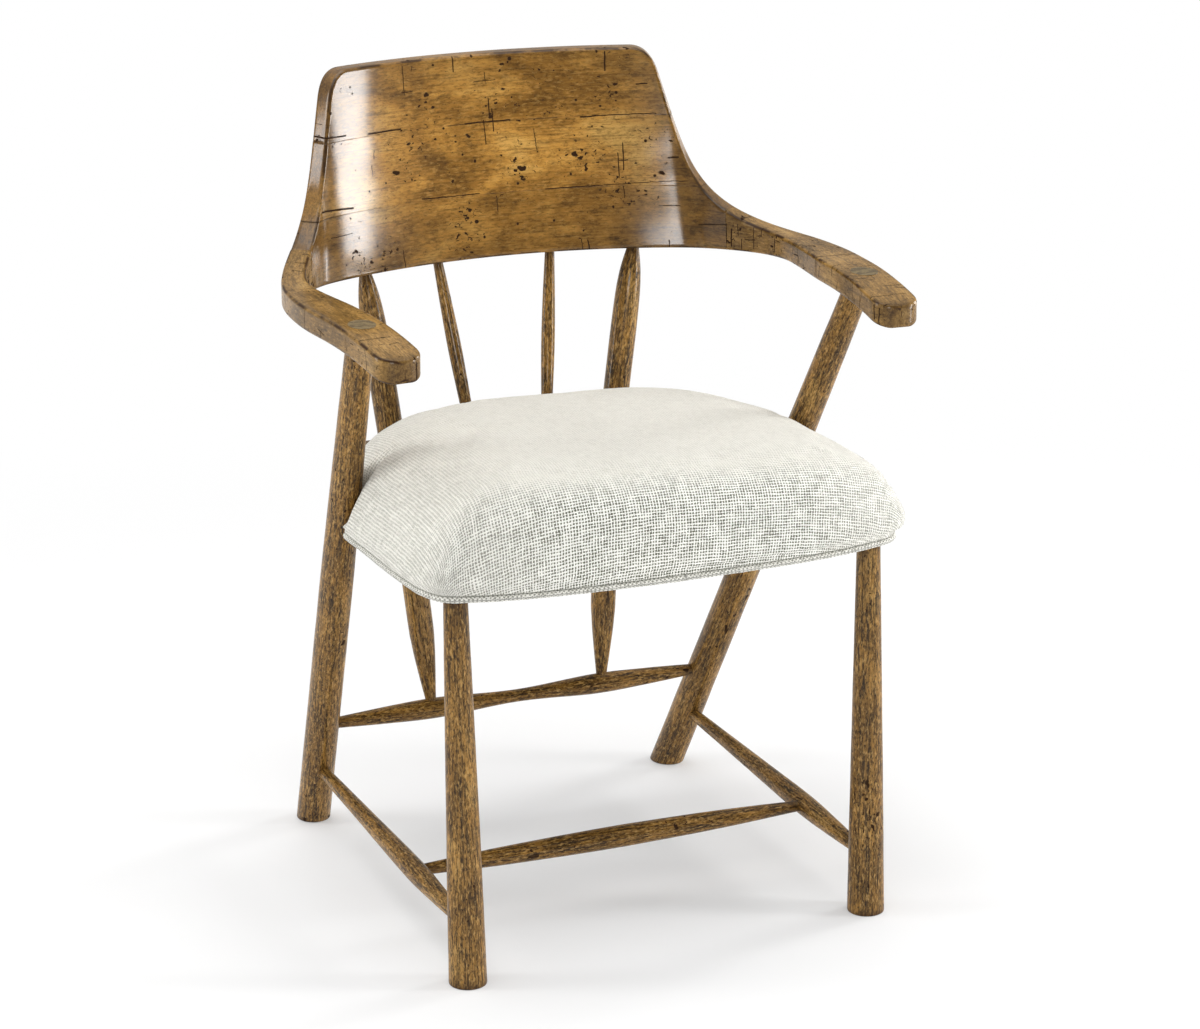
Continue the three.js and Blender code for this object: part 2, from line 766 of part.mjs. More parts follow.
function tongue(clearance) {
  const { place, outward } = ribbonPlan(jointStation.distance);
  const middle = (ribbonBottom(jointStation.distance) + jointStation.crest) / 2;
  const geometry = new THREE.BoxGeometry(
    tongueLength + 2 * clearance,
    tongueThickness + 2 * clearance,
    tongueHeight + 2 * clearance,
  );
  geometry.rotateZ(-Math.atan2(outward.x, outward.y));
  return toSolid(geometry.translate(place.x, place.y, middle));
}

function addBack() {
  const inner = crestStations.slice(0, jointIndex);
  const end = { ...jointStation, distance: jointStation.distance - glueLine / 2 };
  const half = [...inner, end];
  const otherHalf = half.slice(1).map((station) => ({ ...station, distance: -station.distance }));
  const ribbon = loft([...otherHalf.reverse(), ...half].map(ribbonSection));
  const bores = bore(backPostFoot, backPostHeadEnd, backPostTopDiameter)
    .add(bore(spindleFoot, spindleHeadEnd, spindleEndDiameter))
    .add(tongue(jointGap));
  const lowerGlue = backBottom + backHeight * lowerGlueShare;
  const upperGlue = backBottom + backHeight * upperGlueShare;
  const heights = [
    ['lower', backBottom - overrun, lowerGlue - glueLine / 2],
    ['middle', lowerGlue + glueLine / 2, upperGlue - glueLine / 2],
    ['upper', upperGlue + glueLine / 2, backTop + overrun],
  ];
  for (const [name, bottom, top] of heights) {
    const board = ribbon.intersect(layer(bottom, top)).subtract(withMirror(bores));
    addPiece(`back_board_${name}`, board, woodBack);
  }
}

function addArms() {
  const start = { ...jointStation, distance: jointStation.distance + glueLine / 2 };
  const arm = loft([start, ...armStations()].map(ribbonSection));
  addPair('arm', arm.subtract(rearLegBody(jointGap)).subtract(tongue(jointGap)), woodArm);
  addPair('arm_tongue', tongue(0), woodFrame);
}

// Seat

function seatOutline(inset) {
  const toPlace = ([across, back]) => new THREE.Vector3(
    seatHalfWidth * across,
    THREE.MathUtils.lerp(seatFrontY, seatRearY, back),
    0,
  );
  const left = seatOutlineShares.map(toPlace);
  const right = left.slice(1, -1).reverse().map(otherSide);
  const curve = new THREE.CatmullRomCurve3([...left, ...right], true, 'centripetal');
  const places = curve.getPoints(outlineSteps).slice(0, -1);
  return places.map((place, index) => {
    const before = places.at(index - 1);
    const after = places[(index + 1) % places.length];
    const along = after.clone().sub(before).normalize();
    return new THREE.Vector2(place.x - along.y * inset, place.y + along.x * inset);
  });
}

function crown(inset, skirt) {
  const apron = [[skirt, seatDrawIn], [0, seatDrawIn], [apronHeight / 3, 0]];
  const base = seatBottom + apronLift;
  const rings = apron.map(([rise, drawnIn]) => {
    return seatOutline(inset + drawnIn).map((place) => new THREE.Vector3(place.x, place.y, base + rise));
  });
  const edge = seatOutline(inset - seatBulge);
  for (const share of crownRingShares) {
    const rise = (1 - share ** crownPlanPower) ** (1 / crownRisePower);
    const height = base + apronHeight + (crownHeight - inset) * rise;
    rings.push(edge.map((place) => {
      return new THREE.Vector3(place.x * share, THREE.MathUtils.lerp(crownCentreY, place.y, share), height);
    }));
  }
  return loft(skirt < 0 ? rings : rings.slice(1));
}

function notches(clearance) {
  return withMirror(rearLegBody(clearance));
}

// The cloth, the frame behind it and the welt under it each keep their distance from the legs
const coverInnerGap = clothGap + coverThickness;
const weltGap = weltDiameter + 5 * clothGap;
const frameGap = coverInnerGap + jointGap;
const deckBottom = railTop + jointGap;
const deckTop = deckBottom + deckThickness;

// Screws stand at the middle of each corner block and reach up into the deck
const blockCorners = {
  front: [
    new THREE.Vector2(sideRailInnerX - glueLine, frontRailInnerY + glueLine),
    new THREE.Vector2(-cornerBlockLeg, 0),
    new THREE.Vector2(0, cornerBlockLeg),
  ],
  rear: [
    new THREE.Vector2(rearOpeningHalfWidth - glueLine, rearRailInnerY - glueLine),
    new THREE.Vector2(-cornerBlockLeg, 0),
    new THREE.Vector2(sideRailInnerX - rearOpeningHalfWidth, sideRailStraightEndY - rearRailInnerY)
      .setLength(cornerBlockLeg),
  ],
};

function blockOutline([corner, first, second]) {
  return [corner, corner.clone().add(first), corner.clone().add(second)];
}

function screwAxis(corners) {
  const middle = new THREE.Vector2();
  blockOutline(corners).forEach((place) => middle.add(place));
  middle.divideScalar(3);
  const foot = new THREE.Vector3(middle.x, middle.y, railTop - cornerBlockThickness - jointGap);
  return [foot, foot.clone().setZ(deckBottom + screwReach)];
}

function screwBores() {
  const [front, rear] = Object.values(blockCorners).map(screwAxis);
  return withMirror(bore(...front, screwDiameter).add(bore(...rear, screwDiameter)));
}

function addCornerBlocks() {
  for (const [name, corners] of Object.entries(blockCorners)) {
    const [foot, end] = screwAxis(corners);
    const body = plate(blockOutline(corners), railTop - cornerBlockThickness, railTop);
    addPair(`corner_block_${name}`, body.subtract(bore(foot, end, screwDiameter)), woodFrame);
    const head = rod(beyond(end, foot, screwHeadHeight), foot, screwHeadDiameter, smallSides);
    addPair(`seat_screw_${name}`, head.add(rod(foot, end, screwDiameter, smallSides)), steel);
  }
}

function addSeatFrame() {
  const opening = [
    new THREE.Vector2(sideRailInnerX, frontRailInnerY),
    new THREE.Vector2(sideRailInnerX, sideRailStraightEndY),
    new THREE.Vector2(rearOpeningHalfWidth, rearRailInnerY),
  ];
  const outline = [...opening, ...opening.map((place) => new THREE.Vector2(-place.x, place.y)).reverse()];
  const mortise = bore(frontTenonEnd, frontFoot, frontTenonDiameter);
  const frame = plate(seatOutline(railInset), seatBottom, railTop)
    .subtract(plate(outline, seatBottom - overrun, railTop + overrun))
    .subtract(notches(frameGap))
    .subtract(notches(weltGap).intersect(layer(0, seatBottom + apronLift)))
    .subtract(withMirror(mortise))
    .subtract(withMirror(boltPassage(legBoltStart, legBoltEnd, jointGap)))
    .subtract(withMirror(boltPassage(railBoltStart, railBoltEnd, jointGap)));
  const sides = frame.intersect(slice(frontRailInnerY + glueLine / 2, rearRailInnerY - glueLine / 2));
  const leftHalf = block(new THREE.Vector3(0, -backTop, 0), new THREE.Vector3(backTop, backTop, backTop));
  addPiece('seat_rail_front', frame.intersect(slice(-backTop, frontRailInnerY - glueLine / 2)), woodFrame);
  addPiece('seat_rail_rear', frame.intersect(slice(rearRailInnerY + glueLine / 2, backTop)), woodFrame);
  addPair('seat_rail', sides.intersect(leftHalf), woodFrame);
  const deck = plate(seatOutline(deckInset), deckBottom, deckTop);
  addPiece('seat_deck', deck.subtract(notches(frameGap)).subtract(screwBores()), plywood);
}

function addCushion() {
  const bolts = withMirror(
    boltPassage(legBoltStart, legBoltEnd, clothGap).add(boltPassage(railBoltStart, railBoltEnd, clothGap)),
  );
  const lining = crown(coverThickness, -overrun).subtract(notches(coverInnerGap));
  const cover = crown(0, 0).subtract(notches(clothGap)).subtract(lining).subtract(bolts);
  addPiece('seat_cover', cover, linen);
  const frameSpace = plate(seatOutline(railInset - jointGap), seatBottom - overrun, deckBottom);
  const deckSpace = plate(seatOutline(deckInset - jointGap), seatBottom, deckTop + jointGap);
  const pad = crown(coverThickness + jointGap, 0)
    .subtract(notches(frameGap))
    .subtract(frameSpace)
    .subtract(deckSpace)
    .subtract(bolts);
  addPiece('seat_foam', pad, foam);
}

// Where the left side of an outline reaches a given depth
function sidePlace(half, y) {
  const index = half.findIndex((place) => place.y > y);
  const [before, after] = [half[index - 1], half[index]];
  return before.clone().lerp(after, (y - before.y) / (after.y - before.y));
}

// Points of the welt: the seat's outline, led round the inner side of each raked leg, with its
// two ends meeting at the middle of the rear
function weltPath() {
  const height = seatBottom + apronLift - jointGap - weltDiameter / 2;
  const leg = atHeight(rearFoot, rearLegTop, height);
  const rake = Math.hypot(1, (rearLegTop.y - rearFoot.y) / (rearLegTop.z - rearFoot.z));
  const chordShare = Math.cos(Math.PI / notchSteps / 2);
  const reachX = (rearLegSeatDiameter / 2 + clothGap + weltDiameter / 2) / chordShare;
  const reachY = ((rearLegSeatDiameter / 2) * rake + clothGap + weltDiameter / 2) / chordShare;
  const outline = seatOutline(weltInset);
  const half = outline.slice(0, outline.length / 2 + 1);
  const frontLip = leg.y - reachY - weltLipRadius;
  const rearLip = leg.y + reachY + weltLipRadius;
  const front = [...half.filter((place) => place.y < frontLip), sidePlace(half, frontLip)];
  const rear = [sidePlace(half, rearLip), ...half.filter((place) => place.y > rearLip)];
  const notch = [];
  for (let step = 0; step <= notchSteps; step += 1) {
    const angle = (-0.5 - step / notchSteps) * Math.PI;
    notch.push(new THREE.Vector2(leg.x + reachX * Math.cos(angle), leg.y + reachY * Math.sin(angle)));
  }
  const left = [...front, ...notch, ...rear];
  left.at(-1).x = jointGap / 2;
  const right = left.slice(1).map((place) => new THREE.Vector2(-place.x, place.y)).reverse();
  return { height, places: [...right, ...left] };
}

function addWelt() {
  const { height, places } = weltPath();
  const rings = places.map((place, index) => {
    const along = places[(index + 1) % places.length].clone().sub(places.at(index - 1)).normalize();
    const ring = [];
    for (let side = 0; side < weltSides; side += 1) {
      const angle = (2 * Math.PI * side) / weltSides;
      const across = (Math.cos(angle) * weltDiameter) / 2;
      const up = (Math.sin(angle) * weltDiameter) / 2;
      ring.push(new THREE.Vector3(place.x + along.y * across, place.y - along.x * across, height + up));
    }
    return ring;
  });
  addPiece('seat_welt', loft(rings), linen);
}

function addDustCover() {
  const top = seatBottom - jointGap;
  const sheet = plate(seatOutline(dustCoverInset), top - dustCoverThickness, top)
    .subtract(notches(weltGap))
    .subtract(withMirror(rod(frontFoot, frontTenonEnd, frontLegTopDiameter + 2 * clothGap)));
  addPiece('dust_cover', sheet, blackCloth);
}

addFrontLegs();
addRearLegs();
addStretchers();
addStruts();
addBackPosts();
addSpindles();
addSpindleRail();
addBack();
addArms();
addSeatFrame();
addCornerBlocks();
addCushion();
addWelt();
addDustCover();

// The origin lies on the floor below the middle of the chair
const bounds = new THREE.Box3().setFromObject(chair);
chair.position.set(0, -(bounds.min.y + bounds.max.y) / 2, 0);

export default chair;
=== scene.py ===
import json
import math
from functools import partial

import bpy
import numpy as np
from mathutils import Matrix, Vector
from mathutils.kdtree import KDTree


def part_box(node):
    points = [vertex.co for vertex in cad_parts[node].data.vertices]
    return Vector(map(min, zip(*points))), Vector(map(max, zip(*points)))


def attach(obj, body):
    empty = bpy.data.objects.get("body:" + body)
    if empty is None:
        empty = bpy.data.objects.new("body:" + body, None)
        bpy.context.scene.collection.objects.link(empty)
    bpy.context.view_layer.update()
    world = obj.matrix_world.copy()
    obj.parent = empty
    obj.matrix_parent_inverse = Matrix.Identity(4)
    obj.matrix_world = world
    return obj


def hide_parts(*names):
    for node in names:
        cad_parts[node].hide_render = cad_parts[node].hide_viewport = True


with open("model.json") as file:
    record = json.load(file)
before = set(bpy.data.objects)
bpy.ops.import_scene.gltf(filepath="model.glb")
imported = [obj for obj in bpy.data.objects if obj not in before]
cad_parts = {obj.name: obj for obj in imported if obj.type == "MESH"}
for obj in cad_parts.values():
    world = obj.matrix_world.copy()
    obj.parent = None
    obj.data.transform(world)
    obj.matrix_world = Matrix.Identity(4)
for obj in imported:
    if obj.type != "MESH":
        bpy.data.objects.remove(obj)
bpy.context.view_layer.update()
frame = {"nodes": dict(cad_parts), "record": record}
print("stage: frame loaded, with", len(frame["nodes"]), "nodes")

# All shapes are worked out in millimetres, in the maker's own frame: x to the sitter's left,
# y to the rear, z up, with the seat's front rail at y -257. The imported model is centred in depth.
toMetres = 0.001
frontOfCover = -259.5
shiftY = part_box("seat_cover")[0].y / toMetres - frontOfCover


# Numbers and curves

def ease(value):
    value = np.clip(value, 0, 1)
    return value * value * (3 - 2 * value)


def mix(first, second, share):
    return first + (second - first) * share


def ripple(places, seed, scale):
    # smooth unevenness from a few crossing waves, about -1 to 1
    rng = np.random.default_rng(seed)
    total = np.zeros(places.shape[:-1])
    for octave in range(5):
        direction = rng.normal(size=places.shape[-1])
        direction /= np.linalg.norm(direction)
        length = scale * (0.55 + 0.25 * octave)
        total += np.sin(places @ direction * 2 * math.pi / length + rng.uniform(0, 2 * math.pi))
    return total / 3


def splineThrough(knots, steps=24):
    # evenly weighted curve through the knots, as a dense polyline
    knots = np.asarray(knots, float)
    last = len(knots) - 1
    t = np.linspace(0, last, last * steps + 1)
    index = np.minimum(t.astype(int), last - 1)
    share = (t - index)[:, None]
    p0, p1 = knots[np.maximum(index - 1, 0)], knots[index]
    p2, p3 = knots[index + 1], knots[np.minimum(index + 2, last)]
    v0, v1 = (p2 - p0) / 2, (p3 - p1) / 2
    return ((2 * p1 - 2 * p2 + v0 + v1) * share ** 3 + (-3 * p1 + 3 * p2 - 2 * v0 - v1) * share ** 2
            + v0 * share + p1)


def bezier(points, steps):
    t = np.linspace(0, 1, steps + 1)[:, None]
    points = [np.asarray(point, float) for point in points]
    while len(points) > 1:
        points = [(1 - t) * a + t * b for a, b in zip(points, points[1:])]
    return points[0]


def closedCurve(knots, steps):
    # centripetal curve through a closed loop of knots
    knots = np.asarray(knots, float)
    around = lambda k: knots[(np.arange(len(knots)) + k) % len(knots)]
    p0, p1, p2, p3 = around(-1), around(0), around(1), around(2)
    gap = lambda a, b: np.linalg.norm(b - a, axis=1, keepdims=True) ** 0.5
    d0, d1, d2 = gap(p0, p1), gap(p1, p2), gap(p2, p3)
    t1 = ((p1 - p0) / d0 - (p2 - p0) / (d0 + d1) + (p2 - p1) / d1) * d1
    t2 = ((p2 - p1) / d1 - (p3 - p1) / (d1 + d2) + (p3 - p2) / d2) * d1
    share = np.arange(steps)[None, :, None] / steps
    p1, p2, t1, t2 = (value[:, None, :] for value in (p1, p2, t1, t2))
    curve = (p1 + t1 * share + (3 * p2 - 3 * p1 - 2 * t1 - t2) * share ** 2
             + (2 * p1 - 2 * p2 + t1 + t2) * share ** 3)
    return curve.reshape(-1, knots.shape[1])


# Meshes

def inScene(places):
    # from the maker's frame, in millimetres, to the scene's metres
    return (places + np.array([0, shiftY, 0])) * toMetres


def meshPlaces(mesh):
    places = np.zeros(len(mesh.vertices) * 3)
    mesh.vertices.foreach_get("co", places)
    return places.reshape(-1, 3)


def meshVolume(mesh):
    # six times the real one; only its sign is asked for
    mesh.calc_loop_triangles()
    corners = np.zeros(len(mesh.loop_triangles) * 3, np.int32)
    mesh.loop_triangles.foreach_get("vertices", corners)
    a, b, c = meshPlaces(mesh)[corners.reshape(-1, 3)].transpose(1, 0, 2)
    return np.einsum("ij,ij->", a, np.cross(b, c))


def toScene(name, data):
    thing = bpy.data.objects.new(name, data)
    bpy.context.scene.collection.objects.link(thing)
    return thing


def makePiece(name, rings, layers, material, endMaterial=None, smoothEnds=False):
    # skin over rings of equal point counts; layers holds a value or vector for each point
    rings = np.asarray(rings, float)
    count, around = rings.shape[:2]
    index = np.arange(count * around).reshape(count, around)
    after = np.roll(index, -1, axis=1)
    faces = np.stack([index[:-1], after[:-1], after[1:], index[1:]], axis=-1).reshape(-1, 4)
    ends = [index[0, ::-1].tolist(), index[-1].tolist()]
    mesh = bpy.data.meshes.new(name)
    mesh.from_pydata(inScene(rings.reshape(-1, 3)).tolist(), [], faces.tolist() + ends)
    for layer, values in layers.items():
        values = np.asarray(values, np.float32)
        kind, field = ("FLOAT_VECTOR", "vector") if values.ndim == 3 else ("FLOAT", "value")
        mesh.attributes.new(layer, kind, "POINT").data.foreach_set(field, values.ravel())
    mesh.polygons.foreach_set("use_smooth", np.ones(len(mesh.polygons), bool))
    mesh.materials.append(material)
    if endMaterial:
        mesh.materials.append(endMaterial)
    for face in mesh.polygons[-2:]:
        face.use_smooth = smoothEnds
        face.material_index = 1 if endMaterial else 0
    if meshVolume(mesh) < 0:
        mesh.flip_normals()
    piece = toScene(name, mesh)
    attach(piece, "root")
    return piece


def standsFor(piece, slot, *nodes):
    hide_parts(*nodes)


# Materials

def perMetre(size):
    # scale of a pattern from its real size in millimetres
    return 1 / (size * toMetres)


def colour(code):
    channels = [int(code[i:i + 2], 16) / 255 for i in (1, 3, 5)]
    return [c / 12.92 if c <= 0.04045 else ((c + 0.055) / 1.055) ** 2.4 for c in channels] + [1]


def addNode(tree, kind, inputs=(), operation=None, stops=None, output=None, every=False, **settings):
    # one node with its settings and what its sockets hold or are linked to; gives its output
    node = tree.nodes.new("ShaderNode" + kind)
    if operation:
        node.operation = operation
    for setting, value in settings.items():
        setattr(node, setting, value)
    for socket, value in inputs.items() if isinstance(inputs, dict) else enumerate(inputs):
        if isinstance(value, bpy.types.NodeSocket):
            tree.links.new(value, node.inputs[socket])
        else:
            node.inputs[socket].default_value = value
    if stops:
        while len(node.color_ramp.elements) < len(stops):
            node.color_ramp.elements.new(0.5)
        for element, (place, shade) in zip(node.color_ramp.elements, stops):
            element.position = place
            element.color = colour(shade) if isinstance(shade, str) else [shade] * 3 + [1]
    if every:
        return node.outputs
    return node.outputs[output] if output else next((one for one in node.outputs if one.enabled), None)


def newMaterial(name):
    material = bpy.data.materials.new(name)
    material.use_nodes = True
    material.node_tree.nodes.clear()
    return material, partial(addNode, material.node_tree)


def finishMaterial(material, add, sockets):
    add("OutputMaterial", {"Surface": add("BsdfPrincipled", sockets)})
    return material


# Beech, dyed golden brown, knocked about, rubbed with dark glaze and sprayed with satin lacquer.
# The eye gets fine grain along each piece, cloudy glaze, dark worm holes and ticks, and a soft
# white gloss; arrises are rubbed pale in places and glazed dark in others.
def lacqueredBeech(name, values, cracks=(), pits=()):
    material, add = newMaterial(name)
    place = add("Attribute", output="Vector", attribute_name="grain")
    wear, mark, darkGlazeAndShade, toneAndShade = (add("Attribute", output="Fac", attribute_name=layer)
                              for layer in ("wear", "mark", "darkGlazeAndShade", "toneAndShade"))
    fields = {}
    for number, (layer, field) in enumerate(values["fields"].items()):
        size, stretch, detail, roughness, bend = field
        apart = (number * values["fieldsApart"],) * 3
        moved = add("VectorMath", [place, (stretch, 1, 1), apart], "MULTIPLY_ADD")
        fields[layer] = add("TexNoise", {"Vector": moved, "Scale": perMetre(size),
                                         "Detail": detail, "Roughness": roughness, "Distortion": bend})
    base = add("ValToRGB", [fields["cloud"]], stops=values["cloudStops"])
    for layer, stops, strength in values["shades"]:
        shade = add("ValToRGB", [fields[layer]], stops=stops)
        base = add("Mix", {0: strength, 6: base, 7: shade}, data_type="RGBA", blend_type="MULTIPLY")
    # pale golden flecks mixed into the colour: a painted glint
    glow = add("MapRange", [fields["glint"], *values["glintLevels"], 0, values["glintStrength"]])
    base = add("Mix", {0: glow, 6: base, 7: colour(values["glint"])}, data_type="RGBA")

    # small irregular specks, thicker in drifts
    drifting = add("Math", [fields["drift"], 0.5], "SUBTRACT")
    specks = add("Math", [drifting, values["speckDrift"], fields["specks"]], "MULTIPLY_ADD")
    specks = add("MapRange", [specks, *values["speckLevels"]])
    dark = add("Math", [mark, specks], "MAXIMUM")
    dark = withWormHoles(add, dark, place, drifting, values)
    dark = withTicks(add, dark, place, fields["smear"], values)
    if cracks or pits:
        dark = withMarks(add, dark, place, cracks, pits, values)

    # arrises: rubbed pale in long patches, glazed and nicked dark in others
    patch = fields["patch"]
    rubbed = add("MapRange", [patch, *values["rubLevels"], 0, values["rub"]])
    rubbed = add("Math", [rubbed, wear], "MULTIPLY")
    glazed = add("MapRange", [patch, *values["glazeLevels"], *values["edgeGlaze"]])
    glazed = add("Math", [glazed, wear], "MULTIPLY")
    # darker in the glaze colour: a painted shade at joints, feet and arm sides, and darker near arrises
    darkGlazeAndShadeMask = add("MapRange", [fields["smear"], *values["darkGlazeAndShadeLevels"], *values["darkGlazeAndShadeStrength"]])
    darkGlazeAndShadeMask = add("Math", [darkGlazeAndShadeMask, darkGlazeAndShade], "MULTIPLY")
    glazed = add("Math", [glazed, darkGlazeAndShadeMask], "MAXIMUM")
    for amount, shade in ((rubbed, values["rubbedWood"]), (glazed, values["glaze"])):
        base = add("Mix", {0: amount, 6: base, 7: colour(shade)}, data_type="RGBA")
    # each board's own tone, and a painted shade towards the ends of the back
    if values["takesToneAndShade"]:
        base = add("Mix", {0: 1.0, 6: base, 7: toneAndShade}, data_type="RGBA", blend_type="MULTIPLY")
    base = add("Mix", {0: dark, 6: base, 7: colour(values["hollow"])}, data_type="RGBA")

    gloss = add("MapRange", [fields["smear"], *values["glossLevels"], *values["roughness"]])
    gloss = add("Math", [dark, values["hollowDulls"], gloss], "MULTIPLY_ADD")
    relief = add("Math", [fields["grain"], values["grainRelief"]], "MULTIPLY")
    for field, height in ((fields["fleck"], values["fleckRelief"]), (dark, -values["hollowDepth"]),
                          (patch, values["waves"])):
        relief = add("Math", [field, height, relief], "MULTIPLY_ADD")
    bump = add("Bump", {"Height": relief, "Strength": 0.5, "Distance": values["reliefHeight"] * toMetres})
    # the lacquer is whole but for the open holes, and thin over the glaze and the painted shade;
    # the wood below shines little
    lost = add("Math", [glazed, values["glazeDulls"], dark], "MULTIPLY_ADD")
    lacquer = add("Math", [lost, -values["coat"], values["coat"]], "MULTIPLY_ADD", use_clamp=True)
    return finishMaterial(material, add, {
        "Base Color": base, "Roughness": gloss, "Normal": bump, "IOR": 1.5, "Specular IOR Level": 0.12,
        "Coat Weight": lacquer, "Coat Roughness": values["coatRoughness"], "Coat IOR": 1.5,
        "Coat Tint": colour(values["lacquerTint"])})


def withWormHoles(add, dark, place, drifting, values):
    # round holes of several sizes, each a cell's middle; wobbled, so that none is a true circle
    for size, share, shift in values["holes"]:
        size = size * toMetres
        apart = (shift, shift * 0.7, shift * 1.3)
        moved = add("VectorMath", [place, (values["holeStretch"], 1, 1), apart], "MULTIPLY_ADD")
        wobble = add("TexNoise", {"Vector": moved, "Scale": values["wobbleRate"] / size, "Detail": 2},
                     output="Color")
        reach = (size * values["holeWobble"],) * 3
        bent = add("VectorMath", [wobble, reach, moved], "MULTIPLY_ADD")
        cells = add("TexVoronoi", {"Vector": bent, "Scale": 1 / size}, every=True)
        chance = add("SeparateColor", [cells["Color"]])
        chance = add("Math", [drifting, values["holeDrift"], chance], "MULTIPLY_ADD")
        radius = add("MapRange", [chance, 1 - share, values["mostChance"], *values["holeRadii"]])
        chosen = add("Math", [chance, 1 - share], "GREATER_THAN")
        hole = add("Math", [radius, cells["Distance"]], "SUBTRACT")
        hole = add("MapRange", [hole, 0, values["holeRim"], 0, chosen])
        dark = add("Math", [dark, hole], "MAXIMUM")
    return dark


def withTicks(add, dark, place, smear, values):
    # short straight nicks, each through the middle of a cell and leaning a little its own way
    tickBend = values["tickBend"] * toMetres
    core, rim = (width * toMetres for width in values["tickHalfWidth"])
    for size, narrowAxis, longAxis, share, shift in values["ticks"]:
        size = size * toMetres
        moved = add("VectorMath", [place, (shift,) * 3], "ADD")
        cells = add("TexVoronoi", {"Vector": moved, "Scale": 1 / size}, every=True)
        parts = add("SeparateColor", [cells["Color"]], every=True)
        local = add("VectorMath", [moved, cells["Position"]], "SUBTRACT")
        local = add("SeparateXYZ", [local], every=True)
        bend = add("MapRange", [smear, 0, 1, -tickBend, tickBend])
        lean = add("MapRange", [parts[2], 0, 1, -values["tickLean"], values["tickLean"]])
        bend = add("Math", [local[longAxis], lean, bend], "MULTIPLY_ADD")
        aside = add("Math", [local[narrowAxis], bend], "ADD")
        aside = add("Math", [aside], "ABSOLUTE")
        along = add("Math", [local[longAxis]], "ABSOLUTE")
        reach = add("Math", [parts[1], size * values["tickLength"]], "MULTIPLY")
        inside = add("Math", [along, reach], "LESS_THAN")
        chosen = add("Math", [parts[0], share], "LESS_THAN")
        tick = add("Math", [inside, chosen], "MULTIPLY")
        tick = add("MapRange", [aside, core, rim, tick, 0])
        dark = add("Math", [dark, tick], "MAXIMUM")
    return dark


def withMarks(add, dark, place, cracks, pits, values):
    # the cracks and pits that stand out, each in its own place on the boards
    wander = values["markWander"] * toMetres
    markBend = values["markBend"] * toMetres
    middle = markBend / 2  # noise lies about one half, so it shifts every mark by this much
    bend = add("TexNoise", {"Vector": place, "Scale": 1 / wander, "Detail": 2}, output="Color")
    bent = add("VectorMath", [bend, (markBend,) * 3, place], "MULTIPLY_ADD")
    flat = add("VectorMath", [bent, (1, 0, 1)], "MULTIPLY")
    nearest = 9.0  # way to the nearest mark, in its half widths
    for x0, z0, x1, z1, halfWidth in cracks:
        start = np.array([x0, 0, z0]) * toMetres + [middle, 0, middle]
        span = np.array([x1 - x0, 0, z1 - z0]) * toMetres
        fromStart = add("VectorMath", [flat, start], "SUBTRACT")
        share = add("VectorMath", [fromStart, span / (span @ span)], "DOT_PRODUCT")
        share = add("Clamp", [share])
        along = add("VectorMath", {0: span, "Scale": share}, "SCALE")
        away = add("VectorMath", [fromStart, along], "DISTANCE")
        reach = halfWidth * toMetres * values["crackWidth"]
        away = add("Math", [away, reach], "DIVIDE")
        nearest = add("Math", [nearest, away], "MINIMUM")
    for x, z, radius in pits:
        centre = (x * toMetres + middle, 0, z * toMetres + middle)
        away = add("VectorMath", [flat, centre], "DISTANCE")
        away = add("Math", [away, radius * toMetres], "DIVIDE")
        nearest = add("Math", [nearest, away], "MINIMUM")
    nearest = add("MapRange", [nearest, *values["markRim"], 1, 0])
    return add("Math", [dark, nearest], "MAXIMUM")


# the marks that stand out on the back: (along, height) of both ends and half width, in mm
backCracks = [
    (-211.2, 777.2, -181.0, 776.0, 0.55), (-149.5, 773.8, -107.2, 774.0, 0.55),
    (-26.5, 771.8, 27.2, 772.2, 0.5), (3.5, 796.5, 3.5, 776.8, 0.4),
    (7.0, 785.5, 7.2, 761.5, 0.4), (-4.0, 773.5, -3.0, 748.5, 0.4),
    (108.5, 770.8, 125.5, 771.8, 0.5), (125.5, 771.8, 193.8, 773.2, 0.3),
    (-228.8, 703.8, -178.5, 700.5, 0.6), (-86.5, 697.8, -56.5, 697.0, 0.45),
    (-56.5, 697.0, -15.2, 696.5, 0.3), (62.8, 695.8, 124.2, 696.8, 0.35),
    (124.2, 696.8, 225.5, 700.8, 0.25), (148.0, 731.0, 147.8, 704.5, 0.35),
    (154.5, 742.0, 153.2, 713.2, 0.4), (-35.8, 843.2, -35.8, 827.5, 0.45),
    (140.8, 840.0, 140.0, 819.8, 0.5), (-116.2, 647.2, -114.0, 629.2, 0.35),
    (107.2, 638.5, 108.5, 628.8, 0.45), (199.5, 636.2, 199.5, 629.0, 0.4),
    (174.2, 804.8, 186.0, 805.2, 0.5), (204.8, 725.5, 216.5, 726.0, 0.5),
]
backPits = [
    (-60.0, 836.5, 1.5), (-12.8, 842.2, 1.6), (32.0, 837.0, 2.4), (132.0, 840.2, 1.5),
    (150.8, 796.0, 1.8), (104.8, 789.5, 1.5), (-200.0, 801.8, 1.6), (-169.8, 825.2, 1.2),
    (-167.2, 818.0, 1.2), (-53.0, 769.2, 1.4), (-32.2, 739.8, 1.5), (-17.8, 731.5, 1.8),
    (31.2, 703.8, 1.5), (188.0, 706.2, 1.9), (180.0, 743.5, 1.8), (92.8, 710.5, 1.6),
    (-13.2, 650.0, 1.6), (27.8, 661.0, 1.6), (70.0, 661.5, 1.6), (-154.5, 714.5, 1.3),
    (-131.5, 720.2, 1.2), (138.8, 673.0, 1.6),
]
armCracks = [
    (277.8, 653.2, 277.2, 634.5, 0.55), (291.2, 644.0, 291.5, 633.0, 0.35),
    (344.5, 652.8, 343.5, 636.5, 0.45), (463.2, 658.5, 462.2, 636.8, 0.45),
    (616.0, 641.2, 617.0, 627.0, 0.5), (406.2, 646.0, 409.2, 638.2, 0.5),
]
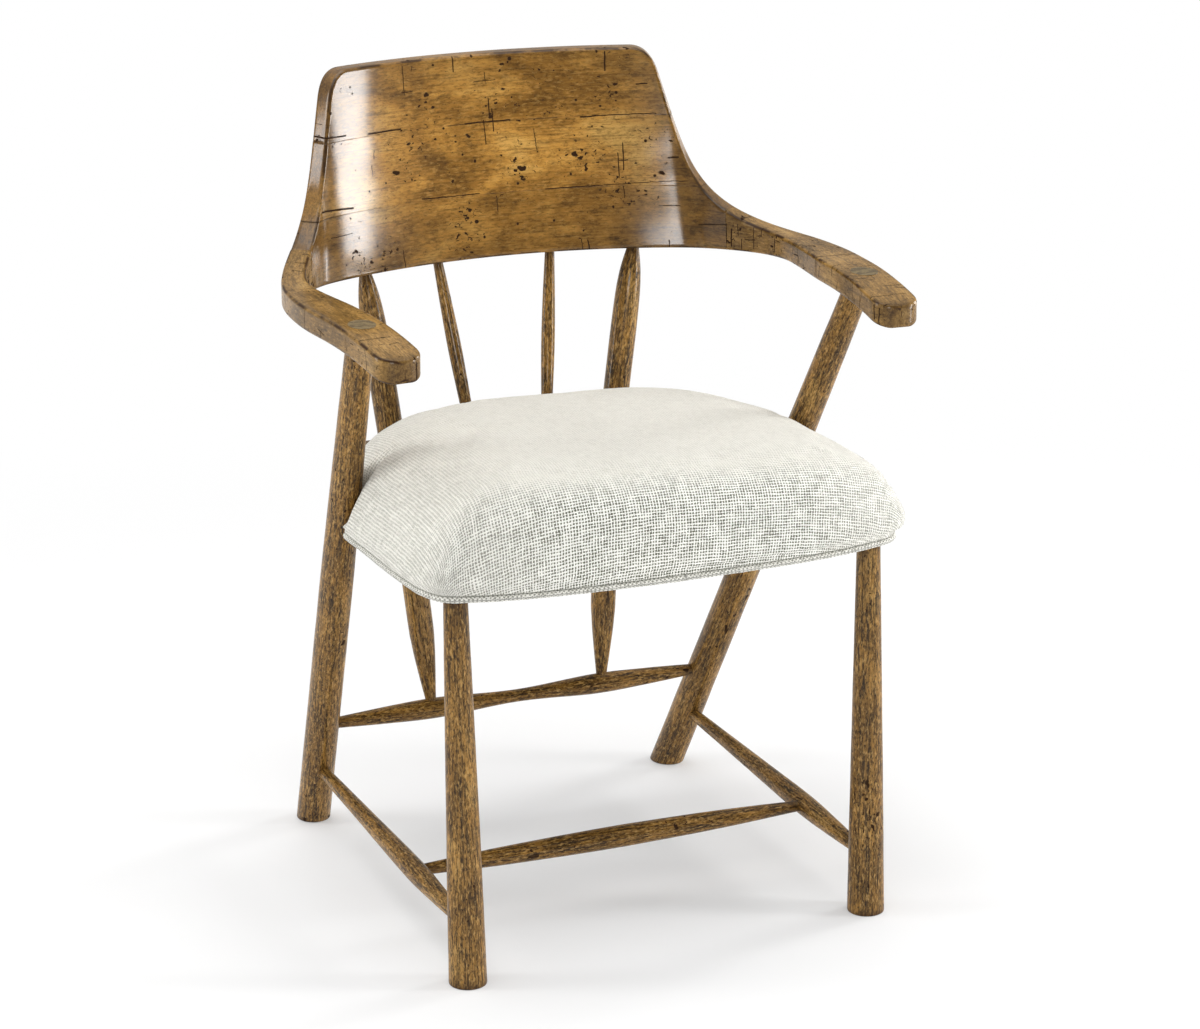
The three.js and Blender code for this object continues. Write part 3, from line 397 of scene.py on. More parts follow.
backFinish = {
    # noise fields: size across the grain in mm, how far drawn out along it, detail, roughness, bend
    "fields": {"cloud": (60, 0.5, 4, 0.6, 0.4), "grain": (2.4, 0.035, 3, 0.6, 0.2),
               "smear": (8, 0.4, 7, 0.8, 0.5), "fleck": (1.9, 0.35, 3, 0.7, 0),
               "glint": (2.6, 0.3, 3, 0.7, 0), "drift": (55, 1, 2, 0.6, 0),
               "specks": (4.6, 0.8, 3, 0.6, 0.6), "patch": (30, 1, 4, 0.6, 0)},
    "fieldsApart": 1.7,
    "cloudStops": [(0.34, "#7c5c2a"), (0.46, "#a57d3e"), (0.55, "#c69a52"), (0.68, "#dcb872")],
    "shades": [("grain", [(0.34, 0.45), (0.5, 0.93), (0.66, 1)], 0.75),
               ("smear", [(0.36, 0.4), (0.5, 0.92), (0.62, 1)], 0.7),
               ("fleck", [(0.38, 0.25), (0.48, 0.88), (0.6, 1)], 0.6)],
    "glint": "#dbb572", "glintLevels": (0.52, 0.72), "glintStrength": 0.4,
    "speckLevels": (0.69, 0.715), "speckDrift": 0.5,
    # cell size in mm, share of cells with a hole, shift
    "holes": [(11, 0.1, 0.1), (6, 0.2, 0.6)],
    "holeStretch": 0.7, "holeWobble": 0.75, "wobbleRate": 1.6, "holeDrift": 1.6, "mostChance": 1.2,
    "holeRadii": (0.05, 0.36), "holeRim": 0.06,
    # cell size in mm, narrow axis, long axis (0 along, 1 deep, 2 high), share, shift
    "ticks": [(50, 0, 2, 0.12, 0.2), (50, 2, 0, 0.1, 0.9)],
    "tickLean": 0.1, "tickBend": 2, "tickLength": 0.36, "tickHalfWidth": (0.3, 0.7),
    # the large marks wander by this many mm, over this many mm
    "markBend": 1.6, "markWander": 7.143, "markRim": (0.75, 1.15), "crackWidth": 1.7,
    "rub": 0.5, "rubLevels": (0.52, 0.64), "rubbedWood": "#c49c5c",
    "edgeGlaze": (0.2, 0.9), "glazeLevels": (0.56, 0.44), "glaze": "#35200c", "glazeDulls": 0.5,
    "darkGlazeAndShadeLevels": (0.3, 0.6), "darkGlazeAndShadeStrength": (0.95, 0.6),
    "hollow": "#2e1c0b", "hollowDulls": 0.4, "hollowDepth": 2.5, "takesToneAndShade": True,
    "waves": 1.2, "grainRelief": 0.25, "fleckRelief": 0.4, "reliefHeight": 0.25,
    "glossLevels": (0.3, 0.7), "roughness": (0.5, 0.38),
    "coat": 1.0, "coatRoughness": 0.14, "lacquerTint": "#fff0d2"}
armFinish = dict(
    backFinish, takesToneAndShade=False, rub=0.4, edgeGlaze=(0.2, 1.0), coat=0.5, coatRoughness=0.17, waves=0.8,
    fields=dict(backFinish["fields"], specks=(3.4, 0.7, 3, 0.6, 0.8)),
    cloudStops=[(0.32, "#685024"), (0.45, "#8e6e38"), (0.57, "#b08c50"), (0.7, "#ccac72")],
    ticks=[(21, 0, 2, 0.5, 0.2), (20, 0, 1, 0.55, 0.5), (24, 2, 0, 0.25, 0.9)], tickLean=0.4)
turnedFinish = dict(
    backFinish, takesToneAndShade=False, coat=0.4, coatRoughness=0.16, waves=0.8, fleckRelief=0.9,
    fields=dict(backFinish["fields"], cloud=(45, 0.4, 4, 0.6, 0.4), grain=(2.2, 0.06, 3, 0.6, 0.3),
                smear=(4.4, 0.12, 6, 0.74, 0.4), fleck=(1.6, 0.35, 2, 0.7, 0),
                glint=(2.1, 0.3, 2, 0.7, 0), specks=(3.6, 0.5, 3, 0.6, 0.6)),
    cloudStops=[(0.32, "#654a1e"), (0.44, "#87642f"), (0.56, "#a27b3e"), (0.7, "#ba9658")],
    shades=[("grain", [(0.4, 0.25), (0.5, 0.86), (0.6, 1)], 1.0),
            ("smear", [(0.38, 0.34), (0.47, 0.86), (0.58, 1)], 0.8),
            ("fleck", [(0.4, 0.25), (0.5, 0.88), (0.6, 1)], 0.95)],
    glint="#cba566", glintStrength=0.65, speckLevels=(0.695, 0.715),
    holes=[(12, 0.06, 0.3), (5.2, 0.12, 0.8)], ticks=[(30, 2, 0, 0.15, 0.4)])
woodBack = lacqueredBeech("beech_board_dyed_and_lacquered", backFinish, backCracks, backPits)
woodArm = lacqueredBeech("beech_arm_sanded_dyed_and_lacquered", armFinish, armCracks)
woodTurned = lacqueredBeech("beech_turned_dyed_and_lacquered", turnedFinish)
print("stage: wood finishes made")


# Turned pieces

bothSides = ((1, "left"), (-1, "right"))


def onSide(place, side):
    return place * np.array([side, 1, 1])


def unit(vector):
    return vector / np.linalg.norm(vector)


def beyond(start, end, distance):
    return end + unit(end - start) * distance


def atHeight(start, end, height):
    return start + (end - start) * (height - start[2]) / (end[2] - start[2])


turning = {"roundDepth": 0.8, "roundMiddle": 0.35, "wearAt": 0.4, "wearReach": 3,
           "uneven": 0.006, "unevenLength": 70, "grainApart": 53}


def turnedPiece(name, start, end, line, seed, lowCut=None, highCut=None, facets=48, steps=120,
                footRound=0, darkGlazeAndShadeSpread=(0, 0), endMaterial=None):
    # line is (distances, diameters); a cut is (point, normal) of the plane that ends the piece;
    # the shade spread says how far a painted shade runs in from each end, at a joint or the foot
    axis = unit(end - start)
    across = unit(np.cross(axis, [0, 1, 0.1]))
    over = np.cross(axis, across)
    length = np.linalg.norm(end - start)
    turn = np.linspace(0, 2 * math.pi, facets, endpoint=False)
    radial = np.cos(turn)[:, None] * across + np.sin(turn)[:, None] * over
    diameter = lambda distance: np.interp(distance, line[0], line[1])
    limits = []
    for cut, nominal in ((lowCut, 0), (highCut, length)):
        edge = np.full(facets, float(nominal))
        if cut is not None:
            point, normal = cut
            for _ in range(4):  # the piece tapers, so each pass comes nearer to the plane
                place = start + axis * edge[:, None] + radial * diameter(edge)[:, None] / 2
                edge = edge + ((point - place) @ normal) / (axis @ normal)
        limits.append(edge)
    shares = np.linspace(0, 1, steps)
    if footRound:
        rounded = np.array([0, turning["roundMiddle"], 1]) * footRound / length
        shares = np.concatenate([rounded, shares[shares > rounded[-1]]])
    distance = limits[0] + (limits[1] - limits[0]) * shares[:, None]
    radius = diameter(distance) / 2
    wear = np.zeros(distance.shape)
    if footRound:
        toFoot = shares[:, None] * length
        past = np.clip(1 - toFoot / footRound, 0, 1)
        radius = radius - footRound * (1 - np.sqrt(1 - past ** 2)) * turning["roundDepth"]
        wear += np.exp(-((toFoot - footRound * turning["wearAt"]) / turning["wearReach"]) ** 2)
    skin = np.stack([distance, radius * np.cos(turn), radius * np.sin(turn)], -1)
    radius = radius * (1 + turning["uneven"] * ripple(skin, seed, turning["unevenLength"]))
    rings = start + axis * distance[..., None] + radial[None] * radius[..., None]
    aside = seed * turning["grainApart"]  # so that no two pieces show the same grain
    grain = np.stack([distance, radius * np.cos(turn) + aside, radius * np.sin(turn)], -1)
    # a painted shade towards each end, where the piece meets another or the floor
    darkGlazeAndShade = np.zeros(distance.shape)
    for along, reach in zip((distance, length - distance), darkGlazeAndShadeSpread):
        if reach:
            darkGlazeAndShade = np.maximum(darkGlazeAndShade, np.exp(-(along / reach) ** 2))
    layers = {"grain": grain * toMetres, "darkGlazeAndShade": darkGlazeAndShade, "wear": wear}
    return makePiece(name, rings, layers, woodTurned, endMaterial)


def swellLine(length, values, kind, startSocket, endSocket):
    # diameters of a kind of piece that is thin in its sockets and fatter between them
    free = length - startSocket - endSocket
    thin, thick = values[kind + "Thin"], values[kind + "Thick"]
    knots = [(startSocket + free * share, mix(thin, thick, swell))
             for share, swell in values[kind + "Shares"]]
    return splineThrough(knots).T


# The ribbon of back and arms, by distance along it from the middle of the back

ribbon = {
    "centreY": 241, "endSetIn": 63, "backAngle": 22.94, "armReach": 186.3,
    # the bends after the back's own: radius and degrees
    "crook": (110.5, 25.6), "elbow": (192, 41), "armBend": (636, 5),
    "thickness": 21.5, "lean": 38, "height": 217, "edgeRadius": 3.6, "blend": 20,
    "sideEdgeInset": 3.9, "cornerRun": 22.5, "cornerDrop": 28.3, "edgeTilt": 14.7,
    "upperPull": 117.5, "lowerPull": 149, "sweepRun": 176,
    "armHeight": 657.5, "armRearThickness": 30.3, "armThickness": 24.5, "thinningRun": 183,
    "uprightRun": 129, "waist": 25, "paddleWidth": 49, "paddleStart": 325, "paddleReach": 156,
    "droop": 14.8, "droopRun": 149, "droopPower": 2.2, "tipRun": 25, "tipFlat": 0.8, "tipPower": 2.4,
    "lowerGlue": 0.315, "upperGlue": 0.665, "jointDistance": 270.4,
    "glueGap": 0.1, "rows": 46, "armRows": 22, "flatPoints": 9, "uneven": 0.25, "unevenLength": 90,
    "tones": {"lower": 0.81, "middle": 1.0, "upper": 0.93}, "endShade": 0.34, "shadeFrom": 80,
    "shadeRun": 120, "wearFrom": 1.6, "wearReach": 1.3, "sideShadeReach": 2.5, "tipSoilReach": 11,
    "tipSoil": 0.882,
    # darker towards the arrises, and on upright faces a painted shade: reach and strength
    # at the arrises, and strength on the faces
    "backEdgeDarkening": (34, 0.42, 0), "armEdgeDarkeningAndSideShade": (7, 0.4, 0.42),
}
seatHalfWidth = 261
backBottom = ribbon["armHeight"] - ribbon["armRearThickness"]
backTop = backBottom + ribbon["height"]
backRadius = (seatHalfWidth - ribbon["endSetIn"]) / math.sin(math.radians(ribbon["backAngle"]))
bends = [(radius, math.radians(angle)) for radius, angle in
         ((backRadius, ribbon["backAngle"]), ribbon["crook"], ribbon["elbow"], ribbon["armBend"])]
backArc = bends[0][0] * bends[0][1]
armTip = sum(radius * angle for radius, angle in bends) + ribbon["armReach"]


def bentPlan(signed):
    # place and outward direction at a distance along the ribbon, which is below 0 on the right
    side = np.where(signed < 0, -1, 1)
    rest = np.abs(signed)
    heading, x, y = np.zeros_like(rest), np.zeros_like(rest), np.full_like(rest, ribbon["centreY"])
    for radius, angle in bends:
        turn = np.minimum(rest / radius, angle)
        x += radius * (np.sin(heading + turn) - np.sin(heading))
        y -= radius * (np.cos(heading) - np.cos(heading + turn))
        heading = heading + turn
        rest = rest - radius * turn
    place = np.stack([side * (x + rest * np.cos(heading)), y - rest * np.sin(heading), 0 * x], -1)
    outward = np.stack([side * np.sin(heading), np.cos(heading), 0 * x], -1)
    return place, outward


def ribbonPlan(signed):
    # averaged along its length, so that no reflection breaks where two bends meet
    shifts = np.linspace(-0.9, 0.9, 13)
    shares = np.cos(shifts * math.pi / 2) ** 2
    plans = [bentPlan(np.asarray(signed, float) + shift * ribbon["blend"]) for shift in shifts]
    place, outward = (sum(share * plan[k] for share, plan in zip(shares, plans)) / shares.sum()
                      for k in (0, 1))
    return place, outward / np.linalg.norm(outward, axis=-1, keepdims=True)


def uprightShare(distance):
    return ease((distance - backArc) / ribbon["uprightRun"])


def armCrest(distance):
    share = np.clip(1 - (armTip - distance) / ribbon["droopRun"], 0, 1)
    return ribbon["armHeight"] - ribbon["droop"] * share ** ribbon["droopPower"]


def ribbonBottom(distance):
    thinning = ease((distance - backArc) / ribbon["thinningRun"])
    return armCrest(distance) - mix(ribbon["armRearThickness"], ribbon["armThickness"], thinning)


def ribbonHalf(distance):
    start = armTip - ribbon["paddleStart"]
    paddle = ease((distance - start) / (ribbon["paddleStart"] - ribbon["paddleReach"]))
    waist = mix(ribbon["thickness"], ribbon["waist"], uprightShare(distance))
    width = waist + (ribbon["paddleWidth"] - ribbon["waist"]) * paddle
    past = np.clip(1 - (armTip - distance) / ribbon["tipRun"], 0, 1)
    drawnIn = (1 - past ** ribbon["tipPower"]) ** (1 / ribbon["tipPower"])
    return np.maximum(ribbon["tipFlat"], width * drawnIn) / 2


def crestLine():
    # (distance, height) of the crest from the middle of the back to the end of its sweep
    tilt = math.radians(ribbon["edgeTilt"])
    halfLength = backArc - ribbon["sideEdgeInset"]
    cornerEnd = np.array([halfLength, backTop - ribbon["cornerDrop"]])
    cornerTip = np.array([halfLength - ribbon["cornerDrop"] * math.tan(tilt), backTop])
    cornerStart = cornerTip - [ribbon["cornerRun"], 0]
    sweepEnd = np.array([halfLength + ribbon["sweepRun"], ribbon["armHeight"]])
    down = np.array([math.sin(tilt), -math.cos(tilt)])
    return np.concatenate([
        bezier([[0, backTop], cornerStart], 100)[:-1],
        bezier([cornerStart, cornerTip, cornerEnd], 24)[:-1],
        bezier([cornerEnd, cornerEnd + down * ribbon["upperPull"],
                sweepEnd - [ribbon["lowerPull"], 0], sweepEnd], 150)])


crest = crestLine()


def crestStations(floor, last):
    # stations of one board, out to where the crest meets its lower seam, or to a last distance
    end = min(last, np.interp(-floor, -crest[:, 1], crest[:, 0]))
    distances = np.append(crest[crest[:, 0] < end - 0.2, 0], end)
    return distances, np.interp(distances, crest[:, 0], crest[:, 1])


def levels(low, top, fine, steps):
    # heights from low to top, closer together near both
    near = np.array([0, 0.25, 0.7, 1.4, 2.3, 3.4, 4.8, 6.5, 9])
    room = 0.45 * (top - low) / near[-1]
    below = near[None] * np.minimum(1, room)[:, None]
    above = near[None] * np.minimum(fine, room)[:, None]
    first, last = low + below[:, -1], top - above[:, -1]
    middle = first[:, None] + (last - first)[:, None] * np.linspace(0, 1, steps)[1:-1]
    return np.concatenate([low[:, None] + below, middle, (top[:, None] - above)[:, ::-1]], axis=1)


def ribbonRings(signed, crests, slopes, floor, ceiling, steps, seed, darkGlazeAndShadeSpread):
    # sections of the ribbon between two heights; the crest and the underside are rounded over
    distance = np.abs(signed)
    place, outward = ribbonPlan(signed)
    half = ribbonHalf(distance)
    rounding = ribbon["edgeRadius"]
    radius = np.minimum(rounding, half)
    stretch = np.hypot(1, slopes)
    pastTip = np.clip(distance - (armTip - rounding), 0, rounding)
    tipInset = rounding - np.sqrt(rounding ** 2 - pastTip ** 2)
    under, over = ribbonBottom(distance) + tipInset, crests - tipInset
    low = np.maximum(under, floor)
    top = np.maximum(np.minimum(over, ceiling), low)
    heights = levels(low, top, stretch, steps)
    fromTop = np.clip(1 - (over[:, None] - heights) / (radius * stretch)[:, None], 0, 1)
    fromLow = np.clip(1 - (heights - under[:, None]) / radius[:, None], 0, 1)
    past = np.maximum(fromTop, fromLow)
    side = half[:, None] - radius[:, None] * (1 - np.sqrt(1 - past ** 2))
    flat = np.linspace(-1, 1, ribbon["flatPoints"])[1:-1]
    across = np.concatenate([-side, side[:, -1:] * flat, side[:, ::-1], side[:, :1] * -flat], axis=1)
    height = np.concatenate([heights, np.repeat(top[:, None], len(flat), 1), heights[:, ::-1],
                             np.repeat(low[:, None], len(flat), 1)], axis=1)
    lean = ribbon["lean"] * (1 - uprightShare(distance)) / ribbon["height"]
    grain = np.stack([np.repeat(signed[:, None], height.shape[1], 1), across, height], -1)
    waved = across + ribbon["uneven"] * ripple(grain, seed, ribbon["unevenLength"])
    rings = place[:, None] + outward[:, None] * waved[..., None]
    rings[..., 1] += lean[:, None] * (height - backBottom)
    rings[..., 2] = height
    # how near each point is to a rounded arris, measured square to it
    inward = half[:, None] - np.abs(across)
    fromCrest = (over[:, None] - height) / stretch[:, None]
    fromUnder = height - under[:, None]
    toArris = np.minimum(np.hypot(inward, np.maximum(fromCrest, 0)),
                         np.hypot(inward, np.maximum(fromUnder, 0)))
    wear = np.exp(-(np.maximum(toArris - ribbon["wearFrom"], 0) / ribbon["wearReach"]) ** 2)
    # darker towards the arrises, and a painted shade on the upright faces
    reach, atArris, sideShade = darkGlazeAndShadeSpread
    darkGlazeAndShade = np.maximum(np.exp(-(toArris / reach) ** 2) * atArris,
                      np.exp(-(inward / ribbon["sideShadeReach"]) ** 2) * sideShade)
    # the end grain at the tip of an arm has drunk in more of it
    toTip = (armTip - distance)[:, None] / ribbon["tipSoilReach"]
    darkGlazeAndShade = np.maximum(darkGlazeAndShade, np.exp(-toTip ** 2) * ribbon["tipSoil"])
    return rings, {"grain": grain * toMetres, "wear": wear, "darkGlazeAndShade": darkGlazeAndShade}


glueLine = {"dash": 60, "shortDash": 17, "shortShare": 0.6, "gap": 0.35, "contrast": 1.6,
            "faintest": 0.1, "darkest": 0.85, "halfWidth": 0.55}


def seamMarks(signed, height, seam, seed):
    # a glue seam shows as broken dark dashes
    line = np.stack([signed, 0 * signed], -1)
    dashes = (ripple(line, seed, glueLine["dash"])
              + glueLine["shortShare"] * ripple(line, seed + 7, glueLine["shortDash"]))
    strength = (dashes - glueLine["gap"]) * glueLine["contrast"]
    strength = np.clip(strength, glueLine["faintest"], glueLine["darkest"])
    return strength[:, None] * np.exp(-((height - seam) / glueLine["halfWidth"]) ** 2)


def makeBack():
    seams = [backBottom + ribbon["height"] * ribbon[seam] for seam in ("lowerGlue", "upperGlue")]
    edges = [backBottom, *seams, backTop]
    gap = ribbon["glueGap"] / 2
    for number, name in enumerate(("lower", "middle", "upper")):
        floor = edges[number] + gap * (number > 0)
        ceiling = edges[number + 1] - gap * (number < 2)
        last = ribbon["jointDistance"] if name == "lower" else armTip
        distances, crests = crestStations(floor, last)
        slopes = np.gradient(crests, distances)
        signed = np.concatenate([-distances[:0:-1], distances])
        crests, slopes = (np.concatenate([values[:0:-1], values]) for values in (crests, slopes))
        rings, layers = ribbonRings(signed, crests, slopes, floor, ceiling, ribbon["rows"], number + 3,
                                    ribbon["backEdgeDarkening"])
        height = layers["grain"][..., 2] / toMetres
        layers["mark"] = sum(seamMarks(signed, height, seam, 20 + k) for k, seam in enumerate(seams))
        # darker towards both ends of the back: a painted shade, times each board's own tone
        shadeTowardsEnds = ease((np.abs(signed) - ribbon["shadeFrom"]) / ribbon["shadeRun"])[:, None]
        toneAndShade = ribbon["tones"][name] * (1 - ribbon["endShade"] * shadeTowardsEnds)
        layers["toneAndShade"] = np.broadcast_to(toneAndShade, height.shape)
        piece = makePiece("board_" + name, rings, layers, woodBack)
        standsFor(piece, "back_wood", "back_board_" + name)


def makeArms():
    start = ribbon["jointDistance"] + ribbon["glueGap"]
    sweep = crest[crest[:, 0] > start + 0.3]  # the first station of the sweep stays clear of the joint
    tipStart = armTip - ribbon["tipRun"]
    level = np.concatenate([np.linspace(crest[-1, 0], tipStart, 110)[1:-1],
                            tipStart + ribbon["tipRun"] * np.sin(np.linspace(0, math.pi / 2, 26))])
    distances = np.concatenate([[start], sweep[:, 0], level])
    atJoint = np.interp([start], crest[:, 0], crest[:, 1])
    crests = np.concatenate([atJoint, sweep[:, 1], armCrest(level)])
    slopes = np.gradient(crests, distances)
    slopes[distances > crest[-1, 0]] = 0
    for side, name in bothSides:
        rings, layers = ribbonRings(side * distances, crests, slopes, 0, backTop, ribbon["armRows"],
                                    8 + side, ribbon["armEdgeDarkeningAndSideShade"])
        piece = makePiece("arm_board_" + name, rings, layers, woodArm, smoothEnds=True)
        standsFor(piece, "arm_wood", "arm_" + name, "arm_tongue_" + name)


# Legs, stretchers, struts, posts and spindles

legs = {
    "frontTop": (227.5, -212.8, 404), "frontFoot": (225.4, -228.8, 0),
    "frontFootDiameter": 39, "frontTopDiameter": 24, "taperPower": 1.15,
    "rearFoot": (218.6, 254.2, 0), "rearFootDiameter": 37.5, "rearSeatDiameter": 34.5,
    "rearTopDiameter": 27, "seatJointBelow": 32, "tenonSetback": 97, "tenonProud": 0.25,
    "overrun": 5, "topGap": 0.3, "footRound": 1.6, "frontEndShade": (5, 9), "rearEndShade": (5, 0),
}
bars = {
    "sideHeights": (61.7, 75.3), "sideThin": 13, "sideThick": 23,
    "sideShares": [(0, 0), (0.16, 0.67), (0.32, 1), (0.66, 0.5), (1, 0)], "sideEndShade": (27, 27),
    "crossPlaceShare": 0.32, "crossThin": 12, "crossThick": 23.5,
    "crossShares": [(0, 0), (0.22, 0.67), (0.5, 1), (0.78, 0.67), (1, 0)], "crossEndShade": (18, 18),
    "rearHeight": 136, "rearThin": 12.5, "rearThick": 22.5,
    "rearShares": [(0, 0), (0.14, 0.67), (0.28, 1), (0.5, 0.15), (0.72, 1), (0.86, 0.67), (1, 0)],
    "rearEndShade": (26, 26),
}
uprights = {
    "railFront": 184, "railDepth": 46, "railHeight": 34, "railHalfLength": 176, "railRound": 10,
    "railArris": 2, "railGrainShift": 900, "headSetback": 2, "headDepth": 5, "tenonDepth": 22,
    "darkGlazeAndShadeSpread": (14, 16),
    "postShare": 0.504, "postTopShare": 0.783, "postSetback": 29.6, "postFootDepth": 5,
    "postFootSocket": 0, "postThick": 28.5, "postThin": 13,
    "postShares": [(0, 1), (0.6, 1), (0.84, 0.72), (1, 0)],
    "spindleShare": 0.169, "spindleTopShare": 0.324, "spindleSetback": 14.5, "spindleFootDepth": 18,
    "spindleFootSocket": 18, "spindleThick": 15, "spindleThin": 10.4,
    "spindleShares": [(0, 0), (0.25, 0.67), (0.5, 1), (0.75, 0.67), (1, 0)],
    "strutTopShare": 0.475, "strutFootShare": 0.392, "strutSetback": 28, "strutHeadDepth": 5,
    "strutThick": 28, "strutThin": 12, "strutEndShade": (16, 12),
    "strutShares": [(0, 0), (0.12, 0.47), (0.24, 0.85), (0.38, 1), (1, 1)],
}
seatBottom = 404
railTop = seatBottom + uprights["railHeight"]
frontTop, frontFoot, rearFoot = (np.array(legs[key], float)
                                 for key in ("frontTop", "frontFoot", "rearFoot"))
tenonDistance = armTip - legs["tenonSetback"]
rearTop = ribbonPlan(tenonDistance)[0] + np.array([0, 0, float(armCrest(tenonDistance))])
upward = np.array([0, 0, 1.0])
floorCut = (np.zeros(3), upward)
frameCut = (upward * (seatBottom - legs["topGap"]), upward)


def rearLegLine():
    foot, atSeat, top = (legs["rear" + name + "Diameter"] for name in ("Foot", "Seat", "Top"))
    length = np.linalg.norm(rearTop - rearFoot) + 2 * foot
    seatShare = (seatBottom - legs["seatJointBelow"]) / rearTop[2]
    knots = [(0, foot), (length * seatShare / 2, (foot + atSeat) / 2), (length * seatShare, atSeat),
             (length, top)]
    line = splineThrough(knots).T
    return np.array([line[0] - foot, line[1]])


def makeLegs():
    length = np.linalg.norm(frontTop - frontFoot) + 2 * legs["overrun"]
    share = np.linspace(0, 1, 60)
    taper = (legs["frontFootDiameter"] - legs["frontTopDiameter"]) * share ** legs["taperPower"]
    frontLine = np.array([share * length - legs["overrun"], legs["frontFootDiameter"] - taper])
    slope = (armCrest(tenonDistance + 1) - armCrest(tenonDistance - 1)) / 2
    outward = ribbonPlan(tenonDistance)[1]
    tenonFace = unit(np.cross(outward, [outward[1], -outward[0], slope]))
    tenonEnd = rearTop + upward * legs["tenonProud"]
    for side, name in bothSides:
        piece = turnedPiece("leg_front_" + name, onSide(frontFoot, side), onSide(frontTop, side),
                            frontLine, 30 + side, floorCut, frameCut, 56, 130, legs["footRound"],
                            legs["frontEndShade"])
        standsFor(piece, "turned_wood", "front_leg_" + name)
        topCut = (onSide(tenonEnd, side), onSide(tenonFace, side))
        piece = turnedPiece("leg_rear_" + name, onSide(rearFoot, side), onSide(rearTop, side),
                            rearLegLine(), 34 + side, floorCut, topCut, 56, 190, legs["footRound"],
                            legs["rearEndShade"], endGrain)
        standsFor(piece, "turned_wood", "rear_leg_" + name, "leg_insert_" + name, "leg_bolt_" + name)


def makeBars():
    legRadius = legs["frontFootDiameter"] / 2
    front = atHeight(frontFoot, frontTop, bars["sideHeights"][0])
    rear = atHeight(rearFoot, rearTop, bars["sideHeights"][1])
    line = swellLine(np.linalg.norm(rear - front), bars, "side", legRadius, legRadius)
    for side, name in bothSides:
        piece = turnedPiece("bar_side_" + name, onSide(front, side), onSide(rear, side), line,
                            40 + side, darkGlazeAndShadeSpread=bars["sideEndShade"])
        standsFor(piece, "turned_wood", "side_stretcher_" + name)
    crossEnd = mix(front, rear, bars["crossPlaceShare"])
    rearEnd = atHeight(rearFoot, rearTop, bars["rearHeight"])
    for kind, end, socket, seed in (("cross", crossEnd, bars["sideThick"] / 2, 44),
                                    ("rear", rearEnd, legRadius, 45)):
        line = swellLine(2 * end[0], bars, kind, socket, socket)
        piece = turnedPiece("bar_" + kind, end, onSide(end, -1), line, seed,
                            darkGlazeAndShadeSpread=bars[kind + "EndShade"])
        standsFor(piece, "turned_wood", kind + "_stretcher")


def onRail(share, setback, height):
    return np.array([seatHalfWidth * share, uprights["railFront"] + setback, height])


def makeStruts():
    rearBar = atHeight(rearFoot, rearTop, bars["rearHeight"])
    foot = np.array([seatHalfWidth * uprights["strutFootShare"], rearBar[1], bars["rearHeight"]])
    head = onRail(uprights["strutTopShare"], uprights["strutSetback"], seatBottom)
    length = np.linalg.norm(head - foot) + uprights["strutHeadDepth"]
    line = swellLine(length, uprights, "strut", bars["rearThick"] / 2, 0)
    for side, name in bothSides:
        piece = turnedPiece("upright_strut_" + name, onSide(foot, side), onSide(head, side), line,
                            50 + side, None, frameCut, darkGlazeAndShadeSpread=uprights["strutEndShade"])
        standsFor(piece, "turned_wood", "strut_" + name)


def behindMiddle(share):
    # where an upright meets the underside of the back
    place, outward = ribbonPlan(backArc * share)
    return place + outward * uprights["headSetback"] + upward * backBottom


def makeUprights():
    for kind, node in (("post", "back_post_"), ("spindle", "spindle_")):
        foot = onRail(uprights[kind + "Share"], uprights[kind + "Setback"], railTop)
        head = behindMiddle(uprights[kind + "TopShare"])
        start = beyond(head, foot, uprights[kind + "FootDepth"])
        tenon = uprights["tenonDepth"]
        length = np.linalg.norm(beyond(foot, head, tenon) - start)
        line = swellLine(length, uprights, kind, uprights[kind + "FootSocket"], tenon)
        end = beyond(foot, head, uprights["headDepth"])
        for side, name in bothSides:
            piece = turnedPiece("upright_" + kind + "_" + name, onSide(start, side),
                                onSide(end, side), line, 60 + side, facets=40, darkGlazeAndShadeSpread=uprights["darkGlazeAndShadeSpread"])
            standsFor(piece, "turned_wood", node + name)


def makeSpindleRail():
    end, around, arris = (uprights[key] for key in ("railHalfLength", "railRound", "railArris"))
    halfDepth, halfHeight = uprights["railDepth"] / 2, uprights["railHeight"] / 2
    centreY, centreZ = uprights["railFront"] + halfDepth, seatBottom + halfHeight
    setIn = around * (1 - np.cos(np.linspace(0, math.pi / 2, 9)[:-1]))
    xs = np.concatenate([-end + setIn, np.linspace(-end + around, end - around, 90),
                         end - setIn[::-1]])
    turn = np.linspace(0, math.pi / 2, 5)
    worn = arris + 0.1
    rings, grains, wears = [], [], []
    for x in xs:
        past = max(0, abs(x) - (end - around)) / around
        deep = halfDepth - around * (1 - math.sqrt(max(0, 1 - past ** 2)))
        corner = [(deep - arris * (1 - math.cos(a)), halfHeight - arris * (1 - math.sin(a)))
                  for a in turn]
        quarter = [(deep, 0)] + corner + [(0, halfHeight)]
        profile = (quarter + [(-a, b) for a, b in quarter[-2::-1]]
                   + [(-a, -b) for a, b in quarter[1:]] + [(a, -b) for a, b in quarter[-2:0:-1]])
        rings.append([(x, centreY + a, centreZ + b) for a, b in profile])
        grains.append([(x + uprights["railGrainShift"], a, b) for a, b in profile])
        wears.append([float(abs(a) > deep - worn and abs(b) > halfHeight - worn) for a, b in profile])
    layers = {"grain": np.array(grains) * toMetres, "wear": wears}
    piece = makePiece("rail_of_spindles", rings, layers, woodTurned)
    standsFor(piece, "turned_wood", "spindle_rail")


